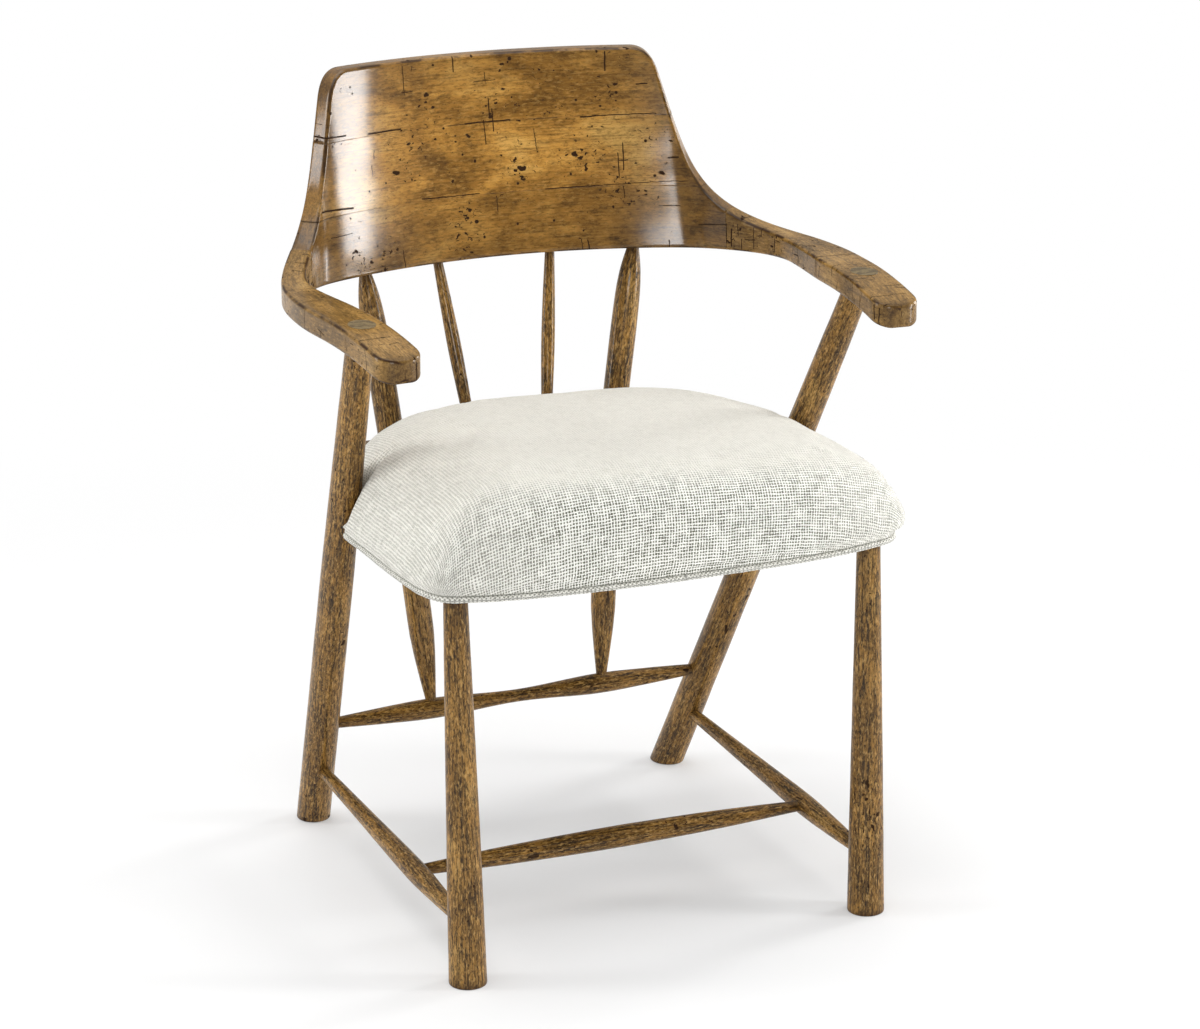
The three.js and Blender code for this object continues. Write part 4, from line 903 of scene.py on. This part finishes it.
# Beech end grain, sawn and dyed, which drinks the stain: darker and duller than the sides
def beechEndGrain(values):
    material, add = newMaterial("beech_end_grain_dyed")
    place = add("Attribute", output="Vector", attribute_name="grain")
    pores = add("TexNoise", {"Vector": place, "Scale": perMetre(values["pores"]), "Detail": 3})
    rings = add("TexWave", {"Vector": place, "Scale": perMetre(values["rings"]),
                            "Distortion": 6, "Detail": 2, "Detail Scale": 2},
                output="Fac", wave_type="BANDS")
    both = add("Mix", {0: values["ringShare"], 2: pores, 3: rings}, data_type="FLOAT")
    shade = add("ValToRGB", [both], stops=values["stops"])
    bump = add("Bump", {"Height": pores, "Strength": 0.3, "Distance": values["relief"] * toMetres})
    return finishMaterial(material, add, {"Base Color": shade, "Roughness": 0.5, "Normal": bump,
                                          "Specular IOR Level": 0.3})


# pores, rings and relief in mm; pores and rings are drawn coarser than real ones, so that they show
endFinish = {"pores": 1.4286, "rings": 16.667, "ringShare": 0.3, "relief": 0.2,
             "stops": [(0.3, "#544630"), (0.7, "#82714e")]}
endGrain = beechEndGrain(endFinish)
makeBack()
makeArms()
print("stage: back and arms lofted")
makeLegs()
makeBars()
makeStruts()
makeUprights()
makeSpindleRail()
print("stage: turned pieces made")


# Seat

# Ivory linen in an open plain weave of uneven spun threads: pale slubs run both ways, and the gaps
# between them are painted dark grey-green, a painted shade, most on faces turned to the front
def slubLinen(name, values):
    material, add = newMaterial(name)
    place = add("Attribute", output="Vector", attribute_name="weave")
    openWeaveGapShade = add("Attribute", output="Fac", attribute_name="openWeaveGapShade")
    seam = add("Attribute", output="Fac", attribute_name="seam")
    drift = add("TexNoise", {"Vector": place, "Scale": perMetre(values["driftLength"]),
                             "Detail": 4, "Roughness": 0.6}, output="Color")
    drifting = (values["drift"] * toMetres,) * 3
    moved = add("VectorMath", [drift, drifting, place], "MULTIPLY_ADD")
    axes = add("SeparateXYZ", [moved], every=True)
    spacings = [values[thread] * toMetres for thread in ("warp", "weft")]
    halfTurns = [add("Math", [axes[axis], math.pi / spacing], "MULTIPLY")
                 for axis, spacing in enumerate(spacings)]
    cosines = [add("Math", [turn], "COSINE") for turn in halfTurns]
    # which of the two threads lies on top swaps from crossing to crossing
    over = add("Math", cosines, "MULTIPLY")
    threads = []
    for cosine, spacing, stretch, side in zip(cosines, spacings, ((1, 0.3, 1), (0.3, 1, 1)), (1, -1)):
        slubPlace = add("VectorMath", [moved, stretch], "MULTIPLY")
        slub = add("TexNoise", {"Vector": slubPlace, "Scale": values["slubRate"] / spacing,
                                "Detail": 3, "Roughness": 0.65})
        fat = add("MapRange", [slub, 0.3, 0.7, -values["slub"], values["slub"]])
        profile = add("Math", [cosine, cosine, fat], "MULTIPLY_ADD")
        profile = add("Math", [over, side * values["crimp"], profile], "MULTIPLY_ADD")
        threads.append(add("MapRange", [profile, *values["threadLevels"]]))
    thread = add("Math", [*threads, values["threadBlend"]], "SMOOTH_MAX")
    hair = add("TexNoise", {"Vector": place, "Scale": perMetre(values["hair"]), "Detail": 3})
    level = add("Math", [hair, values["hairShade"], thread], "MULTIPLY_ADD")
    # the gaps between the threads take the dark stops: a painted shade; a close weave is one even colour
    shade = add("ValToRGB", [level], stops=values["stops"])
    shade = add("Mix", {0: openWeaveGapShade, 6: colour(values["closed"]), 7: shade}, data_type="RGBA")
    # the cloth turned under next to the welt is painted grey: a painted shade in the crease
    shade = add("Mix", {0: seam, 6: shade, 7: colour(values["seam"])}, data_type="RGBA")
    relief = add("Math", [hair, values["hairRelief"], thread], "MULTIPLY_ADD")
    bump = add("Bump", {"Height": relief, "Strength": values["relief"],
                        "Distance": values["reliefHeight"] * toMetres})
    return finishMaterial(material, add, {
        "Base Color": shade, "Roughness": values["roughness"], "Normal": bump,
        "Sheen Weight": values["sheen"], "Sheen Roughness": 0.5, "Specular IOR Level": 0.2})


# lengths in mm; the threads are drawn about one and a half times as coarse as real ones, so that
# they show in the picture
linenFinish = {
    "warp": 3.1, "weft": 3.0, "drift": 3.2, "driftLength": 22.222, "hair": 0.90909,
    "relief": 0.9, "reliefHeight": 1.2, "slub": 0.46, "slubRate": 0.9, "crimp": 0.42,
    "threadLevels": (0.4, 0.98), "threadBlend": 0.2, "hairShade": 0.4, "hairRelief": 0.3,
    "roughness": 0.92, "sheen": 0.15,
    # the dark stops are the painted shade in the gaps
    "stops": [(0.12, "#35382a"), (0.38, "#858776"), (0.66, "#e6e4d9"), (1.0, "#f8f7f0")],
    # seam is a painted shade in the crease above the welt
    "closed": "#efece2", "seam": "#8b8b7d"}
linen = slubLinen("linen_plain_weave_slub", linenFinish)

seat = {
    "frontY": -257, "rearY": 181, "apronLift": 6.4, "edgeHeight": 9.8, "edgeOut": 2.5,
    "crownHeight": 89.8, "crownCentre": (-11, -68), "planPower": 6.9, "risePower": 1.84,
    "spreadPower": 2.3, "innermost": 0.012, "rows": 70, "pointsAround": 720,
    "skew": (9.5, -11.4), "tilt": (-10.3, -3.2), "tiltDepth": 220, "lumps": 0.8, "lumpLength": 170,
    "bulge": 3.6, "cornerBulge": 4.5, "bulgeHeight": 24, "bulgeReach": 22, "swell": 3,
    "cornerOut": 3.5, "cornerFrom": 80, "cornerRun": 200, "cornerMost": 1.3,
    # place, size and height of the two soft rises at the rear corners
    "rearLobe": (222, 92, 48, 9),
    # shares of the half width and of the depth, from the front round to the back
    "outline": [(0, 0), (0.345, 0.005), (0.632, 0.021), (0.82, 0.046), (0.936, 0.076),
                (0.981, 0.139), (0.996, 0.244), (1, 0.45), (0.989, 0.655), (0.897, 0.781),
                (0.778, 0.884), (0.659, 0.959), (0.49, 0.993), (0.36, 1), (0, 1)],
    # (height above the welt, outward) of the turned-under edge and the first of the side
    "turnedUnder": [(4, -26), (1, -12), (-0.4, -5), (-0.5, -1.4), (0.1, 0.5), (1.1, 1.5), (2.6, 2),
                    (6, 2.4)],
    "legGap": 0.6, "lipSoftness": 4, "lipFrom": 0.92, "lipRun": 0.5,
    "pleatY": -5, "pleatFrom": 190, "pleatTo": 240, "pleatSlant": 0.12, "pleatWidth": 8,
    "pleatDown": 5.6, "pleatIn": 4.2, "stillHeight": 12, "freeRun": 20,
}
welt = {"diameter": 6.4, "gap": 0.2, "out": 0.6, "points": 20, "uneven": 0.06, "unevenLength": 26,
        "openWeaveGapShade": 0.7}


def outlineNormals(places):
    along = np.roll(places, -1, 0) - np.roll(places, 1, 0)
    along /= np.linalg.norm(along, axis=1, keepdims=True)
    return np.stack([along[:, 1], -along[:, 0]], -1)


def leftCorner(plan):
    # how far a place belongs to the front corner at the sitter's left
    towardsFront = np.clip((seat["cornerFrom"] - plan[:, 1]) / seat["cornerRun"], 0, seat["cornerMost"])
    return np.clip(plan[:, 0] / seatHalfWidth, 0, 1) ** 2 * towardsFront


def seatOutline():
    left = [(seatHalfWidth * across, mix(seat["frontY"], seat["rearY"], back))
            for across, back in seat["outline"]]
    right = [(-x, y) for x, y in left[1:-1][::-1]]
    places = closedCurve(left + right, 60)
    along = np.linalg.norm(np.roll(places, -1, 0) - places, axis=1)
    reach = np.concatenate([[0], np.cumsum(along)])
    even = np.linspace(0, reach[-1], seat["pointsAround"] + 1)[:-1]
    loop = np.vstack([places, places[:1]])
    loop = np.stack([np.interp(even, reach, loop[:, k]) for k in (0, 1)], -1)
    # the front corner at the sitter's left is stuffed a little fuller
    return loop + outlineNormals(loop) * seat["cornerOut"] * leftCorner(loop)[:, None]


def rearLegAt(height):
    # where the axis of the left raked leg is, at a height
    share = (height - rearFoot[2]) / (rearTop[2] - rearFoot[2])
    return [rearFoot[k] + (rearTop[k] - rearFoot[k]) * share for k in (0, 1)]


def roundLegs(places):
    # the cloth is drawn in round each raked leg
    rake = math.hypot(1, (rearTop[1] - rearFoot[1]) / (rearTop[2] - rearFoot[2]))
    radius = legs["rearSeatDiameter"] / 2 + seat["legGap"]
    soft = seat["lipSoftness"]
    for side in (1, -1):
        legX, legY = rearLegAt(places[..., 2])
        aside = np.abs(places[..., 1] - legY) / (radius * rake)
        chord = np.sqrt(np.clip(1 - aside ** 2, 0, 1)) * radius
        drawn = 1 - ease((aside - seat["lipFrom"]) / seat["lipRun"])
        x = places[..., 0] * side
        held = -np.logaddexp(-x / soft, -(legX - chord) / soft) * soft
        held = np.where(x < 0, x, held)
        places[..., 0] = side * mix(x, np.minimum(x, held), drawn * (x > 0))
    return places


def makeCushion():
    outline = seatOutline()
    normals = outlineNormals(outline)
    base = seatBottom + seat["apronLift"]
    centre = np.array(seat["crownCentre"])
    rings, seams = [], []
    for rise, out in seat["turnedUnder"]:
        rings.append(np.column_stack([outline + normals * out, np.full(len(outline), base + rise)]))
        # the lowest turned-under rings are painted grey: a painted shade in the crease above the welt
        seams.append(np.full(len(outline), np.clip(1.2 - rise, 0, 1)))
    edge = outline + normals * seat["edgeOut"]
    turn = np.linspace(0, math.pi / 2, seat["rows"])[:-1]
    shares = np.append(np.cos(turn) ** (seat["spreadPower"] / seat["planPower"]), seat["innermost"])
    rises = (1 - shares ** seat["planPower"]) ** (1 / seat["risePower"])
    heights = base + seat["edgeHeight"] + (seat["crownHeight"] - seat["swell"]) * rises
    reach = np.linalg.norm(edge - centre, axis=1)
    # the flat cloth: each ring lies as far out as the way over the crown is long
    extra = np.zeros(len(edge))
    unrolled = [centre + (edge - centre) * shares[-1]]
    for k in range(len(shares) - 2, -1, -1):
        flat = (shares[k] - shares[k + 1]) * reach
        extra = extra + np.hypot(flat, heights[k + 1] - heights[k]) - flat
        unrolled.append(centre + (edge - centre) * shares[k] + normals * extra[:, None])
    steps = np.diff([*seat["turnedUnder"], (seat["edgeHeight"], seat["edgeOut"])], axis=0)
    below = np.linalg.norm(steps, axis=1)[::-1].cumsum()[::-1]
    weave = [unrolled[-1] + normals * way for way in below] + unrolled[::-1]
    lobeX, lobeY, lobeSize, lobeHeight = seat["rearLobe"]
    for share, rise, height in zip(shares, rises, heights):
        plan = centre + (edge - centre) * share
        fromBulge = (height - seatBottom - seat["bulgeHeight"]) / seat["bulgeReach"]
        out = seat["bulge"] - seat["swell"] * min(1, rise * 3) + seat["cornerBulge"] * leftCorner(plan)
        out = out * math.exp(-fromBulge ** 2) * share
        plan = plan + normals * out[:, None] + np.array(seat["skew"]) * rise
        lift = (seat["tilt"][0] * plan[:, 0] / seatHalfWidth
                + seat["tilt"][1] * plan[:, 1] / seat["tiltDepth"])
        toLobe = np.hypot(np.abs(plan[:, 0]) - lobeX, plan[:, 1] - lobeY)
        lift = rise * (lift + lobeHeight * np.exp(-(toLobe / lobeSize) ** 2))
        rings.append(np.column_stack([plan, height + lift]))
        seams.append(np.zeros(len(plan)))
    rings, upper = np.array(rings), len(seat["turnedUnder"])
    # the pad is not quite even under the cloth
    rings[upper:, :, 2] += seat["lumps"] * ripple(rings[upper:], 5, seat["lumpLength"])
    rings = roundLegs(rings)
    weave = np.concatenate([weave, np.zeros((len(weave), len(outline), 1))], axis=2)
    layers = {"weave": weave * toMetres, "seam": np.array(seams), "openWeaveGapShade": weaveGapShadeShare(rings)}
    piece = makePiece("cushion", rings, layers, linen, smoothEnds=True)
    swellCushion(piece)
    standsFor(piece, "linen", "seat_cover", "seat_foam")


openness = {"least": 0.2, "front": 1.6, "frontFrom": 0.3, "sides": 0.3, "cornersFrom": 110,
            "cornersLess": 0.4}


def weaveGapShadeShare(rings):
    # the weave, with the painted shade in its gaps, stands open where the cloth is pulled down over
    # the front, and is close on the top, so the front is painted darker
    facing = np.cross(np.gradient(rings, axis=1), np.gradient(rings, axis=0))
    facing /= np.maximum(np.linalg.norm(facing, axis=-1, keepdims=True), 1e-9)
    side, front = np.abs(facing[..., 0]), np.abs(facing[..., 1])
    corners = ease((np.abs(rings[..., 0]) - openness["cornersFrom"]) / openness["cornersFrom"])
    parted = np.clip(front * openness["front"] - openness["frontFrom"], 0, 1)
    parted = parted * (1 - openness["cornersLess"] * corners)
    least = openness["least"]
    return least + (1 - least) * parted + openness["sides"] * side * (1 - parted)


def foldAtLegs(places):
    # the cover is pleated where it is drawn round each leg
    across = np.abs(places[:, 0])
    share = ease((across - seat["pleatFrom"]) / (seat["pleatTo"] - seat["pleatFrom"]))
    share *= ease((places[:, 2] - seatBottom - seat["stillHeight"]) / seat["freeRun"])
    lineY = seat["pleatY"] - seat["pleatSlant"] * (seat["pleatTo"] - across)
    groove = np.exp(-((places[:, 1] - lineY) / seat["pleatWidth"]) ** 2) * share
    places[:, 2] -= groove * seat["pleatDown"]
    places[:, 0] -= np.sign(places[:, 0]) * groove * seat["pleatIn"]
    return places


def applyModifiers(piece):
    view = bpy.context.evaluated_depsgraph_get()
    mesh = bpy.data.meshes.new_from_object(piece.evaluated_get(view))
    piece.modifiers.clear()
    piece.data = mesh


# lengths in mm: the simulated copy is this coarse, and is sewn down below a height and near the legs
cloth = {
    "voxel": 6, "frames": 20, "sewnBelow": 16.5, "sewnNearLeg": 24, "cap": 4.5, "stillBelow": 12.2,
    "neighbours": 8, "blur": 2,
    "settings": {"quality": 5, "mass": 0.3, "tension_stiffness": 12, "compression_stiffness": 12,
                 "bending_stiffness": 0.8, "use_pressure": True, "uniform_pressure_force": 4,
                 "vertex_group_mass": "sewn"},
}


def blownUp(piece):
    # a coarse copy is blown up as cloth that is sewn down at its edge: places before, and moves
    scene = bpy.context.scene
    pad = toScene("pad_of_cloth", piece.data.copy())
    remesh = pad.modifiers.new("even", "REMESH")
    remesh.mode = "VOXEL"
    remesh.voxel_size = cloth["voxel"] * toMetres
    applyModifiers(pad)
    start = meshPlaces(pad.data)
    x, y, z = (start / toMetres - [0, shiftY, 0]).T
    legX, legY = rearLegAt(z)
    sewn = ((z < seatBottom + cloth["sewnBelow"])
            | (np.hypot(np.abs(x) - legX, y - legY) < cloth["sewnNearLeg"]))
    group = pad.vertex_groups.new(name="sewn")
    group.add(np.flatnonzero(sewn).tolist(), 1.0, "REPLACE")
    modifier = pad.modifiers.new("cloth", "CLOTH")
    for setting, value in cloth["settings"].items():
        setattr(modifier.settings, setting, value)
    modifier.settings.effector_weights.gravity = 0
    modifier.point_cache.frame_start = 1
    modifier.point_cache.frame_end = cloth["frames"]
    for number in range(1, cloth["frames"] + 1):
        scene.frame_set(number)
    applyModifiers(pad)
    moves = meshPlaces(pad.data) - start
    scene.frame_set(1)
    bpy.data.objects.remove(pad)
    return start, moves


def swellCushion(piece):
    # the cushion follows its blown-up copy, drawn out by a few mm at most
    rest = meshPlaces(piece.data)
    facing = np.zeros(rest.size)
    piece.data.vertices.foreach_get("normal", facing)
    facing = facing.reshape(-1, 3)
    start, blown = blownUp(piece)
    size = np.linalg.norm(blown, axis=1)
    blown *= (np.minimum(size, cloth["cap"] * toMetres) / np.maximum(size, 1e-9))[:, None]
    tree = KDTree(len(start))
    for k, place in enumerate(start):
        tree.insert(place, k)
    tree.balance()
    moves = np.zeros_like(rest)
    for k, place in enumerate(rest):
        found = tree.find_n(place, cloth["neighbours"])
        weight = np.array([1 / (distance + cloth["blur"] * toMetres) ** 2 for _, _, distance in found])
        moves[k] = weight @ blown[[index for _, index, _ in found]] / weight.sum()
    moves[rest[:, 2] < (seatBottom + cloth["stillBelow"]) * toMetres] = 0
    outward = np.einsum("ij,ij->i", moves, facing)
    moves -= facing * np.minimum(outward, 0)[:, None]  # nowhere does it sink
    most = np.linalg.norm(moves, axis=1).max() / toMetres
    print("stage: cushion swelled by", round(most, 1), "mm at most")
    places = (rest + moves) / toMetres - [0, shiftY, 0]
    piece.data.vertices.foreach_set("co", inScene(foldAtLegs(roundLegs(places))).ravel())
    piece.data.update()


def makeWelt():
    radius = welt["diameter"] / 2
    height = seatBottom + seat["apronLift"] - welt["gap"] - radius
    outline = seatOutline()
    normals = np.column_stack([outlineNormals(outline), np.zeros(len(outline))])
    path = np.column_stack([outline, np.full(len(outline), height)]) + normals * (radius - welt["out"])
    path = roundLegs(path) - normals * radius
    across = np.column_stack([outlineNormals(path), np.zeros(len(path))])
    turn = np.linspace(0, 2 * math.pi, welt["points"], endpoint=False)
    size = radius * (1 + welt["uneven"] * ripple(path, 9, welt["unevenLength"]))
    section = (np.cos(turn)[None, :, None] * across[:, None] + np.sin(turn)[None, :, None] * upward)
    rings = path[:, None] + section * size[:, None, None]
    reach = np.cumsum(np.linalg.norm(np.roll(path, -1, 0) - path, axis=1))[:, None]
    bias = math.sqrt(0.5)  # the strip is cut on the bias, so its threads cross it at 45 degrees
    around = turn * radius
    flat = np.zeros((len(path), len(turn)))
    weave = np.stack([(reach + around) * bias, (reach - around) * bias, flat], -1) * toMetres
    rings, weave = (np.concatenate([values, values[:1]]) for values in (rings, weave))
    closed = np.zeros(weave.shape[:2])
    # the welt shows its weave and the painted gap shade at one fixed share
    layers = {"weave": weave, "seam": closed, "openWeaveGapShade": closed + welt["openWeaveGapShade"]}
    piece = makePiece("welt", rings, layers, linen)
    standsFor(piece, "linen", "seat_welt")


makeCushion()
makeWelt()
print("stage: cushion and welt made")


# Hidden and plain pieces keep their solids

# Planed softwood, sanded plywood, cut foam, bonded black cloth and zinc-plated steel: matt but for
# the steel, with the faint fleck or fibre of each
def plainMaterial(name, dark, light, size, stretch, roughness, relief, metallic):
    material, add = newMaterial(name)
    place = add("TexCoord", output="Object")
    place = add("VectorMath", [place, stretch], "MULTIPLY")
    noise = add("TexNoise", {"Vector": place, "Scale": perMetre(size), "Detail": 5,
                             "Roughness": 0.6})
    shade = add("ValToRGB", [noise], stops=[(0.35, dark), (0.65, light)])
    bump = add("Bump", {"Height": noise, "Strength": relief, "Distance": 0.5 * toMetres})
    return finishMaterial(material, add, {"Base Color": shade, "Roughness": roughness,
                                          "Metallic": metallic, "Normal": bump})


# name, dark and light colour, size of the fleck in mm, stretch, roughness, relief, metallic
plainFinishes = {
    "frame_wood": ("poplar_planed", "#a88a5c", "#c9ab7b", 2.5, (0.05, 1, 1), 0.8, 0.3, 0),
    "plywood": ("birch_plywood_sanded", "#b89a68", "#d2b78a", 4, (0.1, 1, 1), 0.8, 0.2, 0),
    "foam": ("polyurethane_foam_cut", "#d9cd9f", "#eee4c2", 1.11, (1, 1, 1), 0.95, 0.6, 0),
    "dust_cloth": ("polypropylene_cloth_bonded", "#0f0f0f", "#242424", 0.83, (1, 1, 1), 0.95, 0.6, 0),
    "steel": ("steel_zinc_plated", "#8d8e8c", "#b6b7b3", 1.43, (1, 1, 1), 0.38, 0.1, 1),
}
plain = {slot: plainMaterial(*values) for slot, values in plainFinishes.items()}
for part in frame["record"]["subparts"]:
    if part["material_slot"] in plain:
        mesh = frame["nodes"][part["node"]].data
        mesh.materials.clear()
        mesh.materials.append(plain[part["material_slot"]])
print("stage: hidden pieces finished")


# Floor, light and camera

studio = {
    "rear": 0.4, "front": 0.1, "wallLevels": (-0.6, 0.92), "frontAzimuth": 20,
    "top": 0.5, "topLevels": (0.3, 0.9),
    # the paper as it lights the chair, as it is seen in shadow, and how far off (m) it turns white
    "litPaper": "#f2f2f2", "paper": "#d2d2d2", "paperGlow": 0.25, "whiteness": (0.5, 1.8),
    "floorHalf": 30,
    # shape, power in watts, width and height in metres, place, and what it is aimed at
    "lamps": [
        ("overheadSoftbox", "RECTANGLE", 47, (3.0, 3.0), (-0.3, -0.2, 3.2), (0, 0, 0.5)),
        ("leftSoftbox", "ELLIPSE", 38, (0.9, 2.2), (-3.0, 0.9, 1.2), (0, 0, 0.7)),
        ("rightSoftbox", "ELLIPSE", 50, (0.9, 1.9), (3.12, 0.44, 1.1), (0, 0, 0.7)),
        ("rightStrip", "RECTANGLE", 48, (0.5, 1.6), (2.57, -1.47, 0.82), (-0.17, 0.2, 0.74)),
        ("lowFrontCard", "ELLIPSE", 15, (0.95, 0.44), (-1.06, -2.55, 0.8), (0.2, 0.22, 0.68)),
    ],
}


def makeFloor():
    # white paper: lit as it is, and to the camera and in gloss it shows its shadows on a white ground
    material, add = newMaterial("paper_backdrop_matt")
    paper = add("BsdfDiffuse", {"Color": colour(studio["litPaper"])})
    shown = add("BsdfDiffuse", {"Color": colour(studio["paper"])})
    glow = add("Emission", {"Strength": studio["paperGlow"]})
    shown = add("AddShader", [shown, glow])
    white = add("Emission", {"Strength": 1.0})
    distance = add("VectorMath", [add("TexCoord", output="Object")], "LENGTH")
    far = add("MapRange", [distance, *studio["whiteness"]], interpolation_type="SMOOTHSTEP")
    shown = add("MixShader", [far, shown, white])
    path = add("LightPath", every=True)
    seen = add("Math", [path["Is Camera Ray"], path["Is Glossy Ray"]], "MAXIMUM")
    seen = add("Math", [seen, path["Is Transmission Ray"]], "MAXIMUM")
    add("OutputMaterial", {"Surface": add("MixShader", [seen, paper, shown])})
    mesh = bpy.data.meshes.new("floor")
    half = studio["floorHalf"]
    corners = [(-half, -half, 0), (half, -half, 0), (half, half, 0), (-half, half, 0)]
    mesh.from_pydata(corners, [], [(0, 1, 2, 3)])
    mesh.materials.append(material)
    toScene("floor", mesh)


def turnedTo(place, back):
    # matrix of something at a place that looks along its own -Z, away from back
    right = unit(np.cross(upward, back)) if abs(back[2]) < 0.999 else np.array([1.0, 0, 0])
    up = np.cross(back, right)
    return Matrix([[right[k], up[k], back[k], place[k]] for k in range(3)] + [[0, 0, 0, 1]])


def makeLight():
    # a white wall behind and a pale ceiling, and a dark room where the picture is taken from
    world = bpy.data.worlds.new("studio")
    bpy.context.scene.world = world
    world.use_nodes = True
    world.node_tree.nodes.clear()
    add = partial(addNode, world.node_tree)
    direction = add("TexCoord", output="Generated")
    height = add("SeparateXYZ", [direction], output="Z")
    turn = math.radians(studio["frontAzimuth"])
    towardsFront = (math.sin(turn), -math.cos(turn), 0)
    ahead = add("VectorMath", [direction, towardsFront], "DOT_PRODUCT")
    walls = add("MapRange", [ahead, *studio["wallLevels"], studio["rear"], studio["front"]])
    ceiling = add("MapRange", [height, *studio["topLevels"], 0, studio["top"]])
    strength = add("Math", [walls, ceiling], "ADD")
    path = add("LightPath", every=True)
    seen = add("Math", [path["Is Camera Ray"], path["Is Transmission Ray"]], "MAXIMUM")
    strength = add("Mix", {0: seen, 2: strength, 3: 1.0}, data_type="FLOAT")
    glow = add("Background", {"Color": (1, 1, 1, 1), "Strength": strength})
    add("OutputWorld", {"Surface": glow})
    for name, shape, power, size, place, target in studio["lamps"]:
        lamp = bpy.data.lights.new(name, "AREA")
        lamp.shape = shape
        lamp.size, lamp.size_y = size
        lamp.energy = power
        holder = toScene(name, lamp)
        holder.matrix_world = turnedTo(place, unit(np.array(place) - np.array(target)))
        holder.visible_camera = False


# place in mm, in the maker's frame; angles in degrees; a long lens, in mm, on a frame 36 mm wide
view = {"place": (-1441.27, -3303.82, 1519.59), "azimuth": -23.872, "elevation": 17.268,
        "lens": 107.66, "clipEnd": 100}


def makeCamera():
    turn, tip = math.radians(view["azimuth"]), math.radians(view["elevation"])
    back = np.array([math.sin(turn) * math.cos(tip), -math.cos(turn) * math.cos(tip), math.sin(tip)])
    camera = bpy.data.cameras.new("camera")
    camera.lens = view["lens"]
    camera.sensor_width = 36
    camera.sensor_fit = "HORIZONTAL"
    camera.clip_end = view["clipEnd"]
    holder = toScene("camera", camera)
    holder.matrix_world = turnedTo(inScene(np.array(view["place"])), back)
    bpy.context.scene.camera = holder


makeFloor()
makeLight()
makeCamera()
bpy.context.scene.view_settings.view_transform = "Standard"
print("stage: floor, light and camera set")
